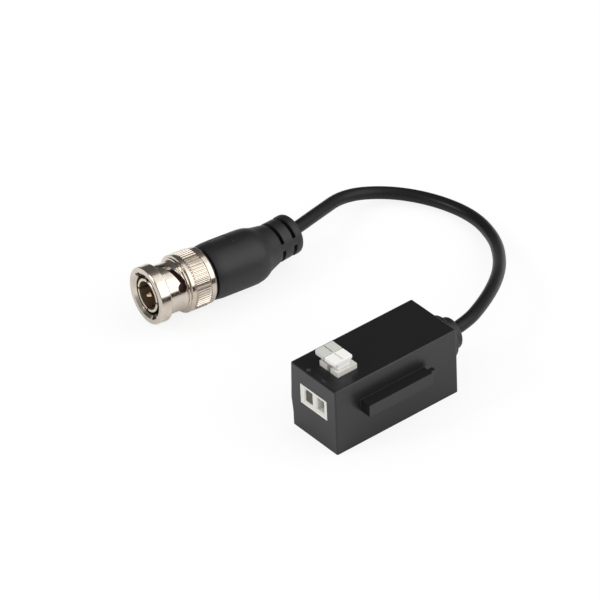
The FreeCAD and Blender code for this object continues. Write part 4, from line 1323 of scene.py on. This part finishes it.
@dataclass
class CordAndOutlet:
    """Coaxial cord and the grommet that holds it in the box."""

    radius: float = 1.6
    length: float = 151.7
    outlet: Triple = (0.0, 23.35, 10.0)
    wall: float = 17.95
    # Radius, place behind the wall's inner face and rounding of each corner of the grommet.
    collars: tuple[Triple, ...] = (
        (1.65, -2.5, 0.1), (4.6, -2.5, 0.2), (4.6, -1.3, 0.0), (3.4, -1.3, 0.0), (3.4, 0.0, 0.0),
        (5.5, 0.0, 0.1), (5.5, 2.9, 0.7), (4.0, 2.9, 0.15), (4.0, 5.4, 0.8), (1.65, 5.4, 0.15),
    )
    # Points of the CAD route, moved and added to follow the photograph's even bends.
    route: tuple[Triple, ...] = (
        (0.0, 15.7, 10.0), (0.0, 26.6, 10.0), (-4.8, 37.4, 9.4), (-11.6, 47.1, 7.8), (-20.0, 55.0, 5.0),
        (-29.5, 61.3, 2.8), (-40.8, 64.5, 1.7), (-52.2, 61.9, 1.7), (-61.4, 55.2, 2.4), (-65.5, 44.4, 4.5),
        (-61.8, 33.2, 6.3), (-58.9, 21.4, 7.0), (-58.318, 8.467, 7.006), (-59.136, -1.792, 7.422),
    )

    def grommet(self) -> bpy.types.Object:
        """Moulded grommet with collars on both sides of the wall.

        Returns:
            The new piece.
        """
        corners = [(radius, self.wall + place, bend) for radius, place, bend in self.collars]
        piece = new_piece("grommet_moulded", turned(rounded(corners), steps=96))
        round_normals(piece.data)
        piece.data.transform(Matrix.Translation((0.0, 0.0, self.outlet[2] * MM)))
        return settle(piece, Body.BALUN, BOOT_PVC, "soft_black", "cable_grommet")

    def cord(self) -> bpy.types.Object:
        """Sheathed cord as one smooth round curve.

        Returns:
            The new piece, a curve.
        """
        curve = bpy.data.curves.new("cord_sheath", "CURVE")
        curve.dimensions = "3D"
        spline = curve.splines.new("NURBS")
        spline.points.add(len(self.route) - 1)
        for point, spot in zip(spline.points, self.route):
            point.co = (*(v * MM for v in spot), 1.0)
        spline.order_u = 3
        spline.use_endpoint_u = True
        curve.resolution_u = 14
        curve.bevel_depth = self.radius * MM
        curve.bevel_resolution = 8
        curve.use_fill_caps = True
        return settle(new_piece("cord_sheath", curve), Body.BALUN, SHEATH_PVC, "cord_black", "cord")


@dataclass(frozen=True)
class Lamp:
    """Soft square lamp, with its place, target and size in metres and its power in watts."""

    name: str
    place: Triple
    target: Triple
    size: float
    power: float

    def build(self) -> None:
        """Adds the lamp to the scene."""
        data = bpy.data.lights.new(self.name, "AREA")
        data.shape = "SQUARE"
        data.size = self.size
        data.energy = self.power
        lamp = new_piece(self.name, data)
        lamp.location = self.place
        lamp.rotation_euler = (Vector(self.target) - Vector(self.place)).to_track_quat("-Z", "Y").to_euler()


@dataclass
class Studio:
    """Pale floor, soft lamps, bright surroundings and the photograph's camera."""

    azimuth: float = 52.665
    elevation: float = 36.357
    roll: float = -2.671
    distance: float = 1152.14
    lens_pixels: float = 5013.76
    shift: Pair = (-17.455, 24.657)
    frame_pixels: int = 600
    tent_side: Pair = (-0.6, 0.2)
    tent_dark: float = 0.11
    tent_pale: float = 0.45
    ambient: float = 0.74
    floor_seen: float = 0.84
    floor_mirrored: float = 0.12
    floor_reach: float = 3.0
    floor_drop: float = 0.02
    lamps: tuple[Lamp, ...] = (
        Lamp("key_right", (1.0, 0.74, 0.84), (-0.03, 0.0, 0.0), 1.5, 11.5),
        Lamp("overhead", (0.05, 0.75, 1.29), (-0.03, 0.0, 0.0), 0.7, 1.4),
        Lamp("front_left", (-0.5, -1.1, 0.9), (0.0, 0.03, 0.0), 0.42, 5.5),
    )

    def camera(self) -> None:
        """Camera at the photograph's place and angle."""
        azimuth, elevation = math.radians(self.azimuth), math.radians(self.elevation)
        back = Vector((math.sin(azimuth) * math.cos(elevation), -math.cos(azimuth) * math.cos(elevation),
                       math.sin(elevation)))
        level = Vector((0.0, 0.0, 1.0)).cross(back).normalized()
        upright = back.cross(level)
        c, s = math.cos(math.radians(self.roll)), math.sin(math.radians(self.roll))
        right = level * c + upright * s
        up = upright * c - level * s
        data = bpy.data.cameras.new("camera")
        data.sensor_width = 36.0
        data.lens = self.lens_pixels / self.frame_pixels * data.sensor_width
        data.clip_start = 0.1
        data.clip_end = 10.0
        camera = new_piece("camera", data)
        matrix = Matrix((right, up, back)).transposed().to_4x4()
        matrix.translation = (right * self.shift[0] + up * self.shift[1] + back * self.distance) * MM
        camera.matrix_world = matrix
        bpy.context.scene.camera = camera

    def by_ray(self, tree: bpy.types.NodeTree, soft: float, seen: float,
               mirrored: float | bpy.types.NodeSocket) -> bpy.types.NodeSocket:
        """Value that depends on what the ray does.

        Args:
            tree: Node tree that gets the nodes.
            soft: Value for rays off matte surfaces.
            seen: Value for rays from the camera or through a clear piece.
            mirrored: Value for rays in a reflection.

        Returns:
            The socket that carries the value.
        """
        path = add_node(tree, "ShaderNodeLightPath")
        clear = add_node(tree, "ShaderNodeMath", {"operation": "MAXIMUM"},
                         {0: path.outputs["Is Camera Ray"], 1: path.outputs["Is Transmission Ray"]})
        plain = add_node(tree, "ShaderNodeMix", {2: soft, 3: seen}, {0: clear.outputs[0]})
        linked = isinstance(mirrored, bpy.types.NodeSocket)
        return add_node(tree, "ShaderNodeMix", {} if linked else {3: mirrored},
                        {0: path.outputs["Is Glossy Ray"], 2: plain.outputs[0],
                         **({3: mirrored} if linked else {})}).outputs[0]

    def floor(self) -> None:
        """White floor that keeps a faint shadow."""
        shape = bmesh.new()
        bmesh.ops.create_grid(shape, x_segments=1, y_segments=1, size=self.floor_reach)
        floor = new_piece("floor", finished(shape, "floor"))
        floor.location.z = -self.floor_drop * MM
        material = bpy.data.materials.new("paper_white")
        material.use_nodes = True
        tree = material.node_tree
        tree.nodes.clear()
        matte = add_node(tree, "ShaderNodeBsdfDiffuse", {"Color": (0.92, 0.92, 0.92, 1.0)})
        bright = add_node(tree, "ShaderNodeEmission", {"Color": (1.0, 1.0, 1.0, 1.0), "Strength": 1.0})
        share = self.by_ray(tree, 0.0, self.floor_seen, self.floor_mirrored)
        both = add_node(tree, "ShaderNodeMixShader",
                        links={0: share, 1: matte.outputs[0], 2: bright.outputs[0]})
        add_node(tree, "ShaderNodeOutputMaterial", links={"Surface": both.outputs[0]})
        floor.data.materials.append(material)

    def world(self) -> None:
        """Surroundings: white to the eye, and in reflections pale on the right and dark on the left."""
        world = bpy.data.worlds.new("studio")
        bpy.context.scene.world = world
        world.use_nodes = True
        tree = world.node_tree
        tree.nodes.clear()
        heading = add_node(tree, "ShaderNodeTexCoord").outputs["Generated"]
        sideways = add_node(tree, "ShaderNodeSeparateXYZ", links={0: heading}).outputs["X"]
        tent = add_node(tree, "ShaderNodeMapRange",
                        {"interpolation_type": "SMOOTHSTEP", "From Min": self.tent_side[0],
                         "From Max": self.tent_side[1], "To Min": self.tent_dark,
                         "To Max": self.tent_pale}, {"Value": sideways})
        glow = add_node(tree, "ShaderNodeBackground", {"Color": (1.0, 1.0, 1.0, 1.0)},
                        {"Strength": self.by_ray(tree, self.ambient, 1.0, tent.outputs["Result"])})
        add_node(tree, "ShaderNodeOutputWorld", links={"Surface": glow.outputs[0]})

    def build(self) -> None:
        """Sets up the whole studio."""
        self.camera()
        self.floor()
        self.world()
        for lamp in self.lamps:
            lamp.build()


def main() -> None:
    """Builds every sub-assembly in order."""
    logging.basicConfig(level=logging.INFO, format="%(name)s: %(message)s")
    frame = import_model()
    nodes = frame["nodes"]
    bpy.context.scene.view_settings.view_transform = "Standard"
    Studio().build()
    cord_maker = CordAndOutlet()
    cord = cord_maker.cord()
    cord_maker.grommet()
    Box(nodes).build()
    WireTerminal(nodes).build()
    nut = CouplingNut().build()
    core = PlugCore(nodes).build()
    boot = Boot().build()


if __name__ == "__main__":
    main()
